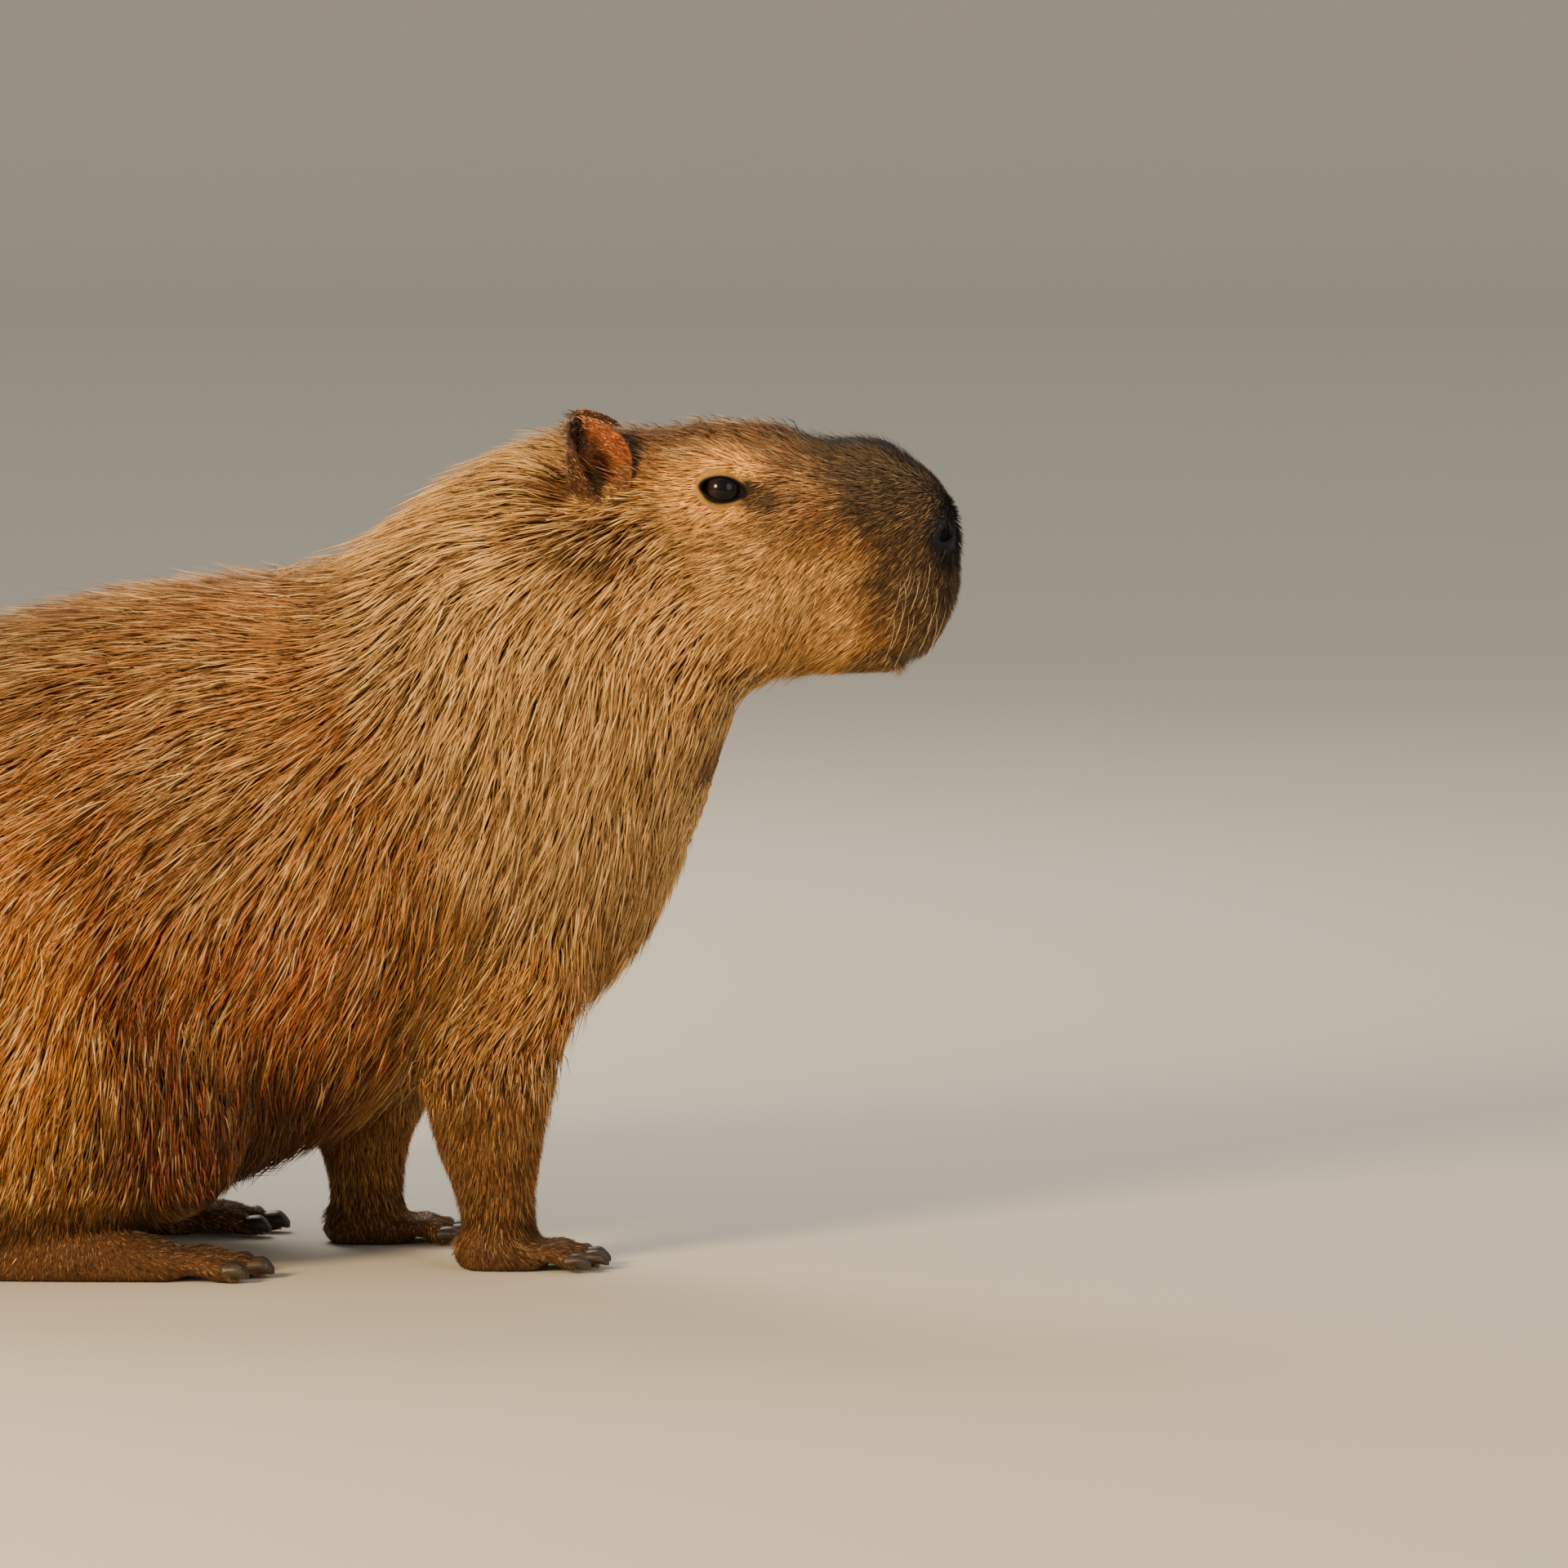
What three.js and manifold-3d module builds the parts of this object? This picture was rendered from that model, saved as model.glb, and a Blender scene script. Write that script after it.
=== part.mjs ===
import * as THREE from "three";
import { mergeVertices } from "three/addons/utils/BufferGeometryUtils.js";
import Module from "manifold-3d";

// An adult male capybara sitting on its haunches, life size, in millimetres.
// It faces +X, +Z is up and its left side is +Y. The floor is z = 0.
// The sizes below are of the coat's outline: the bare skin lies deeper.

const wasm = await Module();
wasm.setup();

// Driving dimensions, measured along the body from the middle of its length.
const RUMP_X = -448; // rearmost point of the rump
const NOSE_X = 449; // front of the nose
const HEAD_BACK_X = 178; // where the swellings of the head begin
const SEAM = 0.3; // gap between two nodes that touch
const FLOOR = 0;

const EYE = { x: 288, z: 531, r: 13.5, standsOut: 5 };
const EAR = { x: 207, y: 53, z: 516, height: 65, width: 44, wall: 5 };
const WRIST_Z = 32; // height of the cut between foreleg and forefoot

// Colours by the part they cover.
const COLOURS = {
  coat: 0xa8783f,
  muzzle: 0x4a3a2e,
  ear: 0x7d4c2c,
  eye: 0x0d0a08,
  feet: 0x5b4531,
  claw: 0x2c241e,
};

// A smooth curve through [place, value] pairs that never overshoots them.
function profile(pairs) {
  const n = pairs.length;
  const slope = [];
  for (let i = 0; i < n - 1; i++) {
    slope.push((pairs[i + 1][1] - pairs[i][1]) / (pairs[i + 1][0] - pairs[i][0]));
  }
  const tangent = pairs.map((_, i) => {
    if (i === 0 || i === n - 1) return slope[Math.min(i, n - 2)];
    const [a, b] = [slope[i - 1], slope[i]];
    return a * b <= 0 ? 0 : (2 * a * b) / (a + b);
  });
  return (x) => {
    if (x <= pairs[0][0]) return pairs[0][1];
    if (x >= pairs[n - 1][0]) return pairs[n - 1][1];
    let i = 0;
    while (x > pairs[i + 1][0]) i++;
    const width = pairs[i + 1][0] - pairs[i][0];
    const t = (x - pairs[i][0]) / width;
    const [t2, t3] = [t * t, t * t * t];
    return (
      (2 * t3 - 3 * t2 + 1) * pairs[i][1] +
      (t3 - 2 * t2 + t) * width * tangent[i] +
      (3 * t2 - 2 * t3) * pairs[i + 1][1] +
      (t3 - t2) * width * tangent[i + 1]
    );
  };
}

// A form made of sections across one axis ("x" or "z"). Each section has a
// level, reaches up, down and out to the sides from it, and has a squareness
// above and below. The ends are rounded off over capBack and capFront.
class Form {
  constructor(spec) {
    const round = () => 2;
    Object.assign(this, { squareBack: 2, squareFront: 2, squareTop: round, squareBottom: round }, spec);
  }

  // What the rounding of the two ends leaves of the section at s, from 0 to 1.
  ending(s) {
    const back = Math.max(0, 1 - (s - this.from) / this.capBack);
    const front = Math.max(0, 1 - (this.to - s) / this.capFront);
    const [e, n] = back > front ? [back, this.squareBack] : [front, this.squareFront];
    return Math.pow(Math.max(0, 1 - Math.pow(e, n)), 1 / n);
  }

  section(s) {
    const k = this.ending(s);
    const level = this.level(s);
    return {
      level,
      side: this.side(s),
      up: (this.top(s) - level) * k,
      down: (level - this.bottom(s)) * k,
      half: this.half(s) * k,
    };
  }

  // The point on the surface at angle a of the section at s.
  at(s, a) {
    const c = this.section(s);
    const [cos, sin] = [Math.cos(a), Math.sin(a)];
    const n = sin > 0 ? this.squareTop(s) : this.squareBottom(s);
    const across = Math.sign(cos) * Math.pow(Math.abs(cos), 2 / n) * c.half;
    const along = Math.sign(sin) * Math.pow(Math.abs(sin), 2 / n) * (sin > 0 ? c.up : c.down);
    return this.axis === "x"
      ? new THREE.Vector3(s, c.side + across, c.level + along)
      : new THREE.Vector3(c.level + along, c.side + across, s);
  }
}

// A closed surface whose rings are set by place(v, a): v runs from 0 to 1
// from pole to pole, and a is the angle round a ring.
function loft(sides, rings, place) {
  const g = new THREE.SphereGeometry(1, sides, rings);
  const [position, uv] = [g.getAttribute("position"), g.getAttribute("uv")];
  for (let i = 0; i < position.count; i++) {
    const v = Math.round((1 - uv.getY(i)) * rings) / rings;
    const u = (Math.round(uv.getX(i) * sides * 2) % (sides * 2)) / (sides * 2);
    const atPole = v === 0 || v === 1;
    const p = place(v, atPole ? 0 : 2 * Math.PI * u);
    position.setXYZ(i, p.x, p.y, p.z);
  }
  return g;
}

// Six times the volume inside a closed triangle mesh, below zero when inside out.
function signedVolume(points, triangles) {
  let sum = 0;
  const [a, b, c] = [new THREE.Vector3(), new THREE.Vector3(), new THREE.Vector3()];
  for (let i = 0; i < triangles.length; i += 3) {
    a.fromArray(points, 3 * triangles[i]);
    b.fromArray(points, 3 * triangles[i + 1]);
    c.fromArray(points, 3 * triangles[i + 2]);
    sum += a.dot(b.cross(c));
  }
  return sum;
}

// Turns any closed geometry into a solid that faces outwards, after moving its
// points out along the surface's normals by grow, a number or a function of place.
function solid(geometry, grow = 0) {
  const growAt = typeof grow === "function" ? grow : () => grow;
  const g = geometry.clone();
  g.deleteAttribute("normal");
  g.deleteAttribute("uv");
  const merged = mergeVertices(g, 1e-4);
  const triangles = new Uint32Array(merged.index.array);
  const points = merged.attributes.position.array;
  if (signedVolume(points, triangles) < 0) {
    triangles.reverse();
    merged.setIndex(new THREE.BufferAttribute(triangles, 1));
  }
  merged.computeVertexNormals();
  const normals = merged.attributes.normal.array;
  const moved = new Float32Array(points);
  for (let i = 0; i < points.length; i += 3) {
    const g = growAt(points[i], points[i + 1], points[i + 2]);
    for (let j = i; j < i + 3; j++) moved[j] += g * normals[j];
  }
  return new wasm.Manifold(
    new wasm.Mesh({ numProp: 3, vertProperties: moved, triVerts: triangles }),
  );
}

const union = (parts) => parts.reduce((a, b) => a.add(b));

// The largest closed body of a solid, so that loose scraps and sealed hollows go.
function oneBody(shape) {
  return shape.decompose().sort((a, b) => b.volume() - a.volume())[0];
}

// Ring places from end to end: close together in the caps, and between them
// spread by stretches, a list of [to, count].
function ringPlaces(form, capRings, stretches) {
  const quarter = (i) => (i / capRings) * (Math.PI / 2);
  const places = [];
  for (let i = 0; i < capRings; i++) {
    places.push(form.from + form.capBack * (1 - Math.cos(quarter(i))));
  }
  let from = form.from + form.capBack;
  for (const [to, count] of stretches) {
    for (let i = 0; i < count; i++) places.push(from + ((to - from) * i) / count);
    from = to;
  }
  for (let i = 0; i <= capRings; i++) {
    places.push(form.to - form.capFront + form.capFront * Math.sin(quarter(i)));
  }
  return places;
}

function formShape(form, sides, capRings, stretches, adjust = (p) => p) {
  const places = ringPlaces(form, capRings, stretches);
  const rings = places.length - 1;
  return loft(sides, rings, (v, a) => adjust(form.at(places[Math.round(v * rings)], a)));
}

// A rounded tube through points with a radius at each, for toes and the tail.
function tube(points, radii, sides, flatten = 1) {
  const curve = new THREE.CatmullRomCurve3(points);
  const radius = profile(radii.map((r, i) => [i / (radii.length - 1), r]));
  const rings = 4;
  return loft(sides, rings, (v, a) => {
    const round = Math.sin(Math.PI * v) ** 0.5;
    const centre = curve.getPoint(v);
    const tangent = curve.getTangent(v);
    const sideways = new THREE.Vector3(-tangent.y, tangent.x, 0).normalize();
    const upwards = new THREE.Vector3().crossVectors(tangent, sideways);
    const r = radius(v) * (v === 0 || v === 1 ? 0 : round);
    return centre
      .addScaledVector(sideways, r * Math.cos(a))
      .addScaledVector(upwards, r * flatten * Math.sin(a));
  });
}

const mirrored = (shape) => shape.mirror([0, 1, 0]);

// Torso, neck and head are one form from the rump to the nose. The head is a
// deep, blunt block with a flat crown, on a thick neck.
const BODY = new Form({
  axis: "x",
  from: RUMP_X,
  to: NOSE_X,
  capBack: 150,
  capFront: 46,
  squareFront: 2.5,
  squareTop: profile([[-448, 2.1], [120, 2.1], [200, 2], [250, 2.6], [449, 2.6]]),
  squareBottom: profile([[-448, 2.2], [180, 2.2], [290, 2], [449, 2.1]]),
  top: profile([
    [-448, 330], [-392, 372], [-320, 395], [-208, 441], [-96, 466], [10, 476], [45, 496],
    [100, 538], [156, 564], [200, 570], [240, 571], [296, 576], [330, 573], [352, 566],
    [375, 563], [397, 560], [419, 550], [449, 547],
  ]),
  bottom: profile([
    [-448, -40], [-392, -26], [-320, -2], [-208, 2], [-130, 18], [-60, 45], [27, 84],
    [110, 135], [175, 158], [229, 207], [262, 270], [284, 346], [298, 381], [330, 396],
    [380, 401], [410, 408], [449, 411],
  ]),
  level: profile([
    [-448, 150], [-320, 165], [-96, 225], [100, 290], [200, 388], [262, 452],
    [300, 474], [350, 480], [449, 487],
  ]),
  side: () => 0,
  half: profile([
    [-448, 122], [-392, 136], [-320, 150], [-208, 160], [-96, 166], [40, 152], [130, 120],
    [200, 93], [240, 78], [290, 67], [330, 62], [370, 55], [405, 50], [449, 49],
  ]),
});

// Swellings of the head: centre, radii, and how softly each one blends in.
const SWELLINGS = [
  { name: "cheek", at: [292, 34, 452], radii: [58, 40, 56], blend: 14 },
  { name: "brow", at: [284, 46, 550], radii: [30, 18, 12], blend: 14 },
  { name: "lip pad", at: [412, 24, 456], radii: [33, 27, 40], blend: 10 },
  { name: "nostril wing", at: [434, 25, 499], radii: [15, 14, 17], blend: 6 },
  { name: "snout gland", at: [370, 0, 556], radii: [44, 20, 11], blend: 9 },
  { name: "chin", at: [398, 0, 419], radii: [30, 24, 17], blend: 8 },
];

const smoothMin = (a, b, k) => {
  const h = Math.max(k - Math.abs(a - b), 0) / k;
  return Math.min(a, b) - (h * h * k) / 4;
};

// Below zero inside a form and above it outside, about in millimetres.
function formField(form, p) {
  const alongX = form.axis === "x";
  const s = alongX ? p.x : p.z;
  const c = form.section(s);
  const across = p.y - c.side;
  const rise = (alongX ? p.z : p.x) - c.level;
  const n = rise > 0 ? form.squareTop(s) : form.squareBottom(s);
  const reach = Math.max(rise > 0 ? c.up : c.down, 1e-6);
  const q = Math.hypot(
    Math.abs(across / Math.max(c.half, 1e-6)) ** (n / 2),
    Math.abs(rise / reach) ** (n / 2),
  ) ** (2 / n);
  return Math.hypot(across, rise) * (1 - 1 / Math.max(q, 1e-6));
}

// The same for torso, neck and head together, with the head's swellings.
function trunkField(p) {
  let field = formField(BODY, p);
  for (const { at, radii, blend } of SWELLINGS) {
    const offsets = [p.x - at[0], Math.abs(p.y) - at[1], p.z - at[2]];
    const ratio = Math.hypot(...offsets.map((d, i) => d / radii[i]));
    field = smoothMin(field, (ratio - 1) * Math.min(...radii), blend);
  }
  return field;
}

// Moves a point of the plain form out to the swollen surface, along its ray.
function swollen(p) {
  if (p.x < HEAD_BACK_X) return p;
  const centreX = Math.min(p.x, NOSE_X - 1.1 * BODY.capFront);
  const centre = new THREE.Vector3(centreX, 0, BODY.level(p.x));
  const ray = p.clone().sub(centre);
  if (ray.length() < 1e-3) return p;
  let [low, high] = [0.7, 1.6];
  for (let i = 0; i < 24; i++) {
    const k = (low + high) / 2;
    if (trunkField(centre.clone().addScaledVector(ray, k)) < 0) low = k;
    else high = k;
  }
  return centre.addScaledVector(ray, low);
}

// How far the side of the head stands out at a place seen from the side.
function cheekReach(x, z) {
  let [low, high] = [0, 120];
  for (let i = 0; i < 24; i++) {
    const y = (low + high) / 2;
    if (trunkField(new THREE.Vector3(x, y, z)) < 0) low = y;
    else high = y;
  }
  return low;
}
EYE.y = cheekReach(EYE.x, EYE.z) + EYE.standsOut - EYE.r;

// An almond rim round each eye, lying on the eyeball.
const LID_SIDES = 4;
const LID_STEPS = 16;
function lids() {
  const lid = { long: 15.5, high: 10.5, thick: 2.4, lie: 1.5 };
  const g = new THREE.TorusGeometry(1, 0.1, LID_SIDES, LID_STEPS);
  const [position, uv] = [g.getAttribute("position"), g.getAttribute("uv")];
  for (let i = 0; i < position.count; i++) {
    const round = 2 * Math.PI * ((Math.round(uv.getX(i) * LID_STEPS) % LID_STEPS) / LID_STEPS);
    const tubeAngle = 2 * Math.PI * ((Math.round(uv.getY(i) * LID_SIDES) % LID_SIDES) / LID_SIDES);
    const corner = Math.abs(Math.cos(round)) ** 3;
    const reach = 1 + 0.12 * corner;
    const x = Math.cos(round) * (lid.long * reach + lid.thick * Math.cos(tubeAngle));
    const z = Math.sin(round) * (lid.high + lid.thick * Math.cos(tubeAngle));
    const onBall = Math.sqrt(Math.max(4, (EYE.r + lid.lie) ** 2 - x * x * 0.72 - z * z));
    position.setXYZ(i, EYE.x + x, -(EYE.y + onBall + lid.thick * 0.8 * Math.sin(tubeAngle)), EYE.z + z - 1);
  }
  return solid(g);
}

function ellipsoid(centre, radii, sides = 16, rings = 10, turn = 0) {
  const g = new THREE.SphereGeometry(1, sides, rings);
  g.scale(...radii);
  g.rotateY(turn);
  g.translate(...centre);
  return solid(g);
}

// A raised rim and a slanting slit for each nostril.
function nostrilRim() {
  const g = new THREE.TorusGeometry(8.5, 3, 4, 10);
  g.scale(1, 0.8, 1);
  g.rotateY(THREE.MathUtils.degToRad(62));
  g.rotateZ(THREE.MathUtils.degToRad(-22));
  g.translate(438, -27, 496);
  return solid(g);
}

// The closed mouth: a thin curved slot under the upper lip that opens in front
// of the chin, where the upper lip overhangs it.
function mouthLine() {
  const upper = profile([[382, 431], [398, 424.5], [412, 420], [450, 418]]);
  const lower = profile([[382, 430.5], [398, 422.5], [410, 417], [421, 404], [450, 390]]);
  const shape = new THREE.Shape();
  const steps = 8;
  const x = (i) => 382 + (68 * i) / steps;
  shape.moveTo(x(0), upper(x(0)));
  for (let i = 1; i <= steps; i++) shape.lineTo(x(i), upper(x(i)));
  for (let i = steps; i >= 1; i--) shape.lineTo(x(i), lower(x(i)));
  const g = new THREE.ExtrudeGeometry(shape, { depth: 160, bevelEnabled: false });
  g.rotateX(Math.PI / 2);
  g.translate(0, 80, 0);
  return solid(g);
}

// The groove down the middle of the upper lip.
function lipCleft() {
  const g = new THREE.CylinderGeometry(1.6, 1.6, 60, 6);
  g.rotateX(Math.PI / 2);
  g.rotateY(THREE.MathUtils.degToRad(-6));
  g.translate(447.5, 0, 452);
  return solid(g);
}

const onBothSides = (shape) => [shape, mirrored(shape)];

function torsoNeckAndHead() {
  const outline = formShape(BODY, 24, 5, [[180, 11], [403, 16]], swollen);
  const trunk = solid(outline, (x, y, z) => -coreDepth(x, z));
  return union([trunk, ...onBothSides(lids()), ...onBothSides(nostrilRim())]);
}

// What is hollowed out of the head: nostrils, mouth and lip cleft.
function headHollows() {
  const slant = THREE.MathUtils.degToRad(-40);
  return [
    ...onBothSides(ellipsoid([442, -29, 497], [12, 8, 5], 12, 8, slant)),
    mouthLine(),
    lipCleft(),
  ];
}

// A cupped leaf that opens forwards and outwards, with its foot in the skull.
// Its rings are closed crescents whose backs stand in one line.
function ear(grow = 0) {
  const width = profile([[0, 0.6], [0.3, 0.9], [0.6, 1], [0.85, 0.88], [0.96, 0.62], [1, 0.3]]);
  const curl = profile([[0, 150], [0.4, 112], [0.8, 92], [1, 85]]);
  const facing = THREE.MathUtils.degToRad(-56);
  const sides = 12;
  const leaf = loft(sides, 7, (v, a) => {
    const t = Math.sin((Math.PI / 2) * (1 - v));
    const radius = (EAR.width / 2) * width(t);
    const arc = THREE.MathUtils.degToRad(curl(t));
    const halfWall = (EAR.wall / 2) * (1 - 0.5 * t) + 2 * grow;
    const ringPoint = (share, offset) => {
      const turn = facing + Math.PI + (share - 0.5) * 2 * arc;
      const r = radius + offset * Math.sin(Math.PI * share) ** 0.5;
      return new THREE.Vector2(r * Math.cos(turn), 0.9 * r * Math.sin(turn));
    };
    const outer = a <= Math.PI;
    const share = outer ? a / Math.PI : 2 - a / Math.PI;
    const q = ringPoint(share, outer ? halfWall : -halfWall);
    if (share === 0 || share === 1) {
      const next = ringPoint(Math.abs(share - 2 / sides), 0);
      q.add(q.clone().sub(next).setLength(6 * grow));
    }
    if (v === 0 || v === 1) q.set(0, 0);
    const backOff = EAR.width * 0.42 - radius;
    return new THREE.Vector3(
      EAR.x - 6 * t - backOff * Math.cos(facing) + q.x,
      -EAR.y - 7 * t - backOff * Math.sin(facing) + q.y,
      EAR.z - grow + (EAR.height + 2 * grow) * t,
    );
  });
  const root = ellipsoid([204, -49, EAR.z + 7], [20, 17, 13].map((r) => r + 2 * grow), 10, 6);
  return solid(leaf).add(root);
}

// Haunch: thigh and knee folded against the flank.
function haunchForm() {
  return new Form({
    axis: "x",
    from: -338,
    to: -28,
    capBack: 90,
    capFront: 55,
    squareTop: () => 2.1,
    squareBottom: () => 2.4,
    top: profile([
      [-338, 318], [-290, 330], [-240, 334], [-190, 322], [-150, 298], [-110, 264], [-78, 228], [-28, 206],
    ]),
    bottom: profile([[-338, 4], [-262, -6], [-200, 14], [-150, 27], [-100, 35], [-28, 42]]),
    level: profile([[-338, 150], [-200, 140], [-28, 128]]),
    side: () => -112,
    half: profile([[-338, 62], [-260, 68], [-200, 69], [-120, 62], [-60, 53], [-28, 48]]),
  });
}

// Foreleg from inside the chest down to the wrist; lean moves it back lower down.
function forelegForm(stepBack) {
  const back = profile([[8, stepBack], [60, stepBack * 0.98], [135, stepBack * 0.78], [235, stepBack * 0.3]]);
  const along = profile([[8, 138], [45, 134], [78, 130], [135, 128], [180, 138], [235, 150]]);
  const reach = profile([[8, 25], [45, 28], [78, 36], [100, 42], [135, 50], [180, 58], [235, 62]]);
  return new Form({
    axis: "z",
    from: 0,
    to: 240,
    capBack: 10,
    capFront: 50,
    top: (z) => along(z) - back(z) + reach(z),
    bottom: (z) => along(z) - back(z) - reach(z),
    level: (z) => along(z) - back(z),
    side: profile([[8, -72], [135, -72], [190, -64], [235, -58]]),
    half: profile([[8, 24], [45, 24], [78, 28], [135, 37], [180, 36], [235, 26]]),
  });
}

// Sole and toes of one foot, heel at x = 0, with the toes along +X.
function foot(spec, grow = 0) {
  const sole = new Form({
    axis: "x",
    from: 0,
    to: spec.soleLength,
    capBack: spec.heelRound,
    capFront: 18,
    squareBottom: () => 2.6,
    top: profile([
      [0, spec.heelHeight], [spec.soleLength * 0.45, spec.midHeight], [spec.soleLength, spec.toeHeight],
    ]),
    bottom: () => -4,
    level: () => 8,
    side: () => 0,
    half: profile([
      [0, spec.heelHalf], [spec.soleLength * 0.5, spec.midHalf], [spec.soleLength, spec.frontHalf],
    ]),
  });
  const toes = spec.toes.map((toe) => {
    const at = (reach, spread, z) => new THREE.Vector3(spec.soleLength + reach, toe.side * spread, z);
    const knuckles = [
      at(-34, 0.7, 11), at(toe.reach * 0.3, 1.05, 12), at(toe.reach * 0.7, 1.22, 9), at(toe.reach, 1.34, 6),
    ];
    const radii = [1, 1.05, 1, 0.8].map((share) => spec.toeRadius * share);
    return solid(tube(knuckles, radii, 6, 0.85), grow);
  });
  return union([solid(formShape(sole, 10, 2, [[spec.soleLength - 18, 3]]), grow), ...toes]);
}

// A blunt, hoof-like nail at the end of each toe.
function claw(spec, toe, grow = 0) {
  const end = spec.soleLength + toe.reach;
  const line = [
    new THREE.Vector3(end - 6, toe.side * 1.33, 8),
    new THREE.Vector3(end + 5, toe.side * 1.37, 8.5),
    new THREE.Vector3(end + 13, toe.side * 1.4, 5),
  ];
  return solid(tube(line, [0.72, 0.8, 0.42].map((share) => spec.toeRadius * share), 5, 0.8), grow);
}

// The short stub of a tail, low on the rump.
function tail(grow = 0) {
  const line = [[-418, 0, 128], [-440, 0, 122], [-458, 0, 112]].map((p) => new THREE.Vector3(...p));
  return solid(tube(line, [15, 14, 8], 10), grow);
}

const FOREFOOT = {
  soleLength: 66, heelRound: 16, heelHeight: 36, midHeight: 34, toeHeight: 20,
  heelHalf: 22, midHalf: 27, frontHalf: 27, toeRadius: 8.5,
  toes: [
    { side: -22, reach: 14 }, { side: -8, reach: 26 },
    { side: 7, reach: 27 }, { side: 20, reach: 18 },
  ],
};
const HINDFOOT = {
  soleLength: 168, heelRound: 30, heelHeight: 60, midHeight: 46, toeHeight: 24,
  heelHalf: 22, midHalf: 27, frontHalf: 30, toeRadius: 10.5,
  toes: [{ side: -20, reach: 28 }, { side: 0, reach: 44 }, { side: 20, reach: 32 }],
};
const FOREFOOT_PLACE = [106, -72];
const HINDFOOT_PLACE = [-240, -126];
const FAR_FORELEG_BACK = 95; // the left foreleg stands this much further back

// A cutting plane seen from the side, through two points; its normal points forwards.
function sidePlane(upper, lower) {
  const along = new THREE.Vector2(lower[0] - upper[0], lower[1] - upper[1]).normalize();
  const normal = [-along.y, 0, along.x];
  return { normal, offset: normal[0] * upper[0] + normal[2] * upper[1] };
}
const NECK_FRONT = sidePlane([150, 575], [288, 350]);
const NECK_BACK = sidePlane([25, 490], [225, 200]);

const inFrontOf = (shape, plane) => shape.trimByPlane(plane.normal, plane.offset + SEAM / 2);
const behind = (shape, plane) =>
  shape.trimByPlane(plane.normal.map((n) => -n), -plane.offset + SEAM / 2);


// The lie of the coat: at a place seen from the side, its angle from +X towards +Z.
const LIE = [
  { x: 130, z: 530, angle: 200 }, { x: 230, z: 400, angle: 258 }, { x: 130, z: 430, angle: 245 },
  { x: 250, z: 270, angle: 272 }, { x: 120, z: 300, angle: 250 }, { x: 150, z: 200, angle: 235 },
  { x: 20, z: 470, angle: 190 }, { x: -100, z: 460, angle: 183 }, { x: -250, z: 410, angle: 195 },
  { x: -60, z: 380, angle: 215 }, { x: 0, z: 250, angle: 240 }, { x: -200, z: 330, angle: 225 },
  { x: -200, z: 200, angle: 245 }, { x: -60, z: 150, angle: 275 }, { x: -420, z: 200, angle: 265 },
];

function lieAt(p) {
  const lie = new THREE.Vector3();
  for (const { x, z, angle } of LIE) {
    const weight = 1 / (400 + (p.x - x) ** 2 + (p.z - z) ** 2) ** 1.5;
    const turn = THREE.MathUtils.degToRad(angle);
    lie.x += weight * Math.cos(turn);
    lie.z += weight * Math.sin(turn);
  }
  return lie.normalize();
}

// The slope of a field at a point: its direction is the surface's normal.
function slopeOf(field, p) {
  const slope = new THREE.Vector3();
  for (const axis of ["x", "y", "z"]) {
    const [ahead, back] = [p.clone(), p.clone()];
    ahead[axis] += 1;
    back[axis] -= 1;
    slope[axis] = (field(ahead) - field(back)) / 2;
  }
  return slope;
}

function ontoSurface(field, p) {
  const q = p.clone();
  for (let i = 0; i < 5; i++) {
    const slope = slopeOf(field, q);
    q.addScaledVector(slope, -field(q) / Math.max(slope.lengthSq(), 1e-3));
  }
  return q;
}

// Random numbers from 0 to 1 that are the same each time.
function randomFrom(seed) {
  let state = seed;
  return () => {
    state = (Math.imul(state, 1664525) + 1013904223) >>> 0;
    return state / 4294967296;
  };
}

// Locks of the long coat: flat, tapered and bent along its lie, with their tips
// on the coat's outline and their roots sunk in the core.
const LOCK = {
  length: 138, width: 44, thick: 12, // its own size
  apart: 97, beside: 46, // how far roots keep from each other along the lie and across it
  sink: 7, // how deep the root goes into the core
  clearance: 1.5, // what a neighbour is cut back by, which leaves 0.3 or more at every facet
  spill: 0.01, // mm3 of a lock that may lie outside its own grown shape
  steadiness: 0.93, // least cosine between the surface's normals at two steps along a lock
};
const CORE_DEPTH = 12; // how far the core lies inside the coat's outline
const LOCK_SHAPE = {
  width: profile([[0, 0.6], [0.3, 1], [0.65, 0.8], [1, 0.1]]),
  thick: profile([[0, 0.9], [0.4, 1], [1, 0.4]]),
  depth: profile([[0, CORE_DEPTH + LOCK.sink], [0.25, 8.6], [0.6, 6], [1, 1.2]]),
};

// Where a lock runs: places on the outline with their normals and sides.
function lockPath(field, root, bend, length) {
  const steps = 4;
  const path = [];
  let p = root.clone();
  for (let i = 0; i <= steps; i++) {
    const normal = slopeOf(field, p).normalize();
    const along = lieAt(p);
    along.addScaledVector(normal, -along.dot(normal)).normalize();
    along.applyAxisAngle(normal, bend * (i / steps - 0.4));
    path.push({ p: p.clone(), normal, sideways: new THREE.Vector3().crossVectors(normal, along) });
    p = ontoSurface(field, p.clone().addScaledVector(along, length / steps));
  }
  return path;
}

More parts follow.
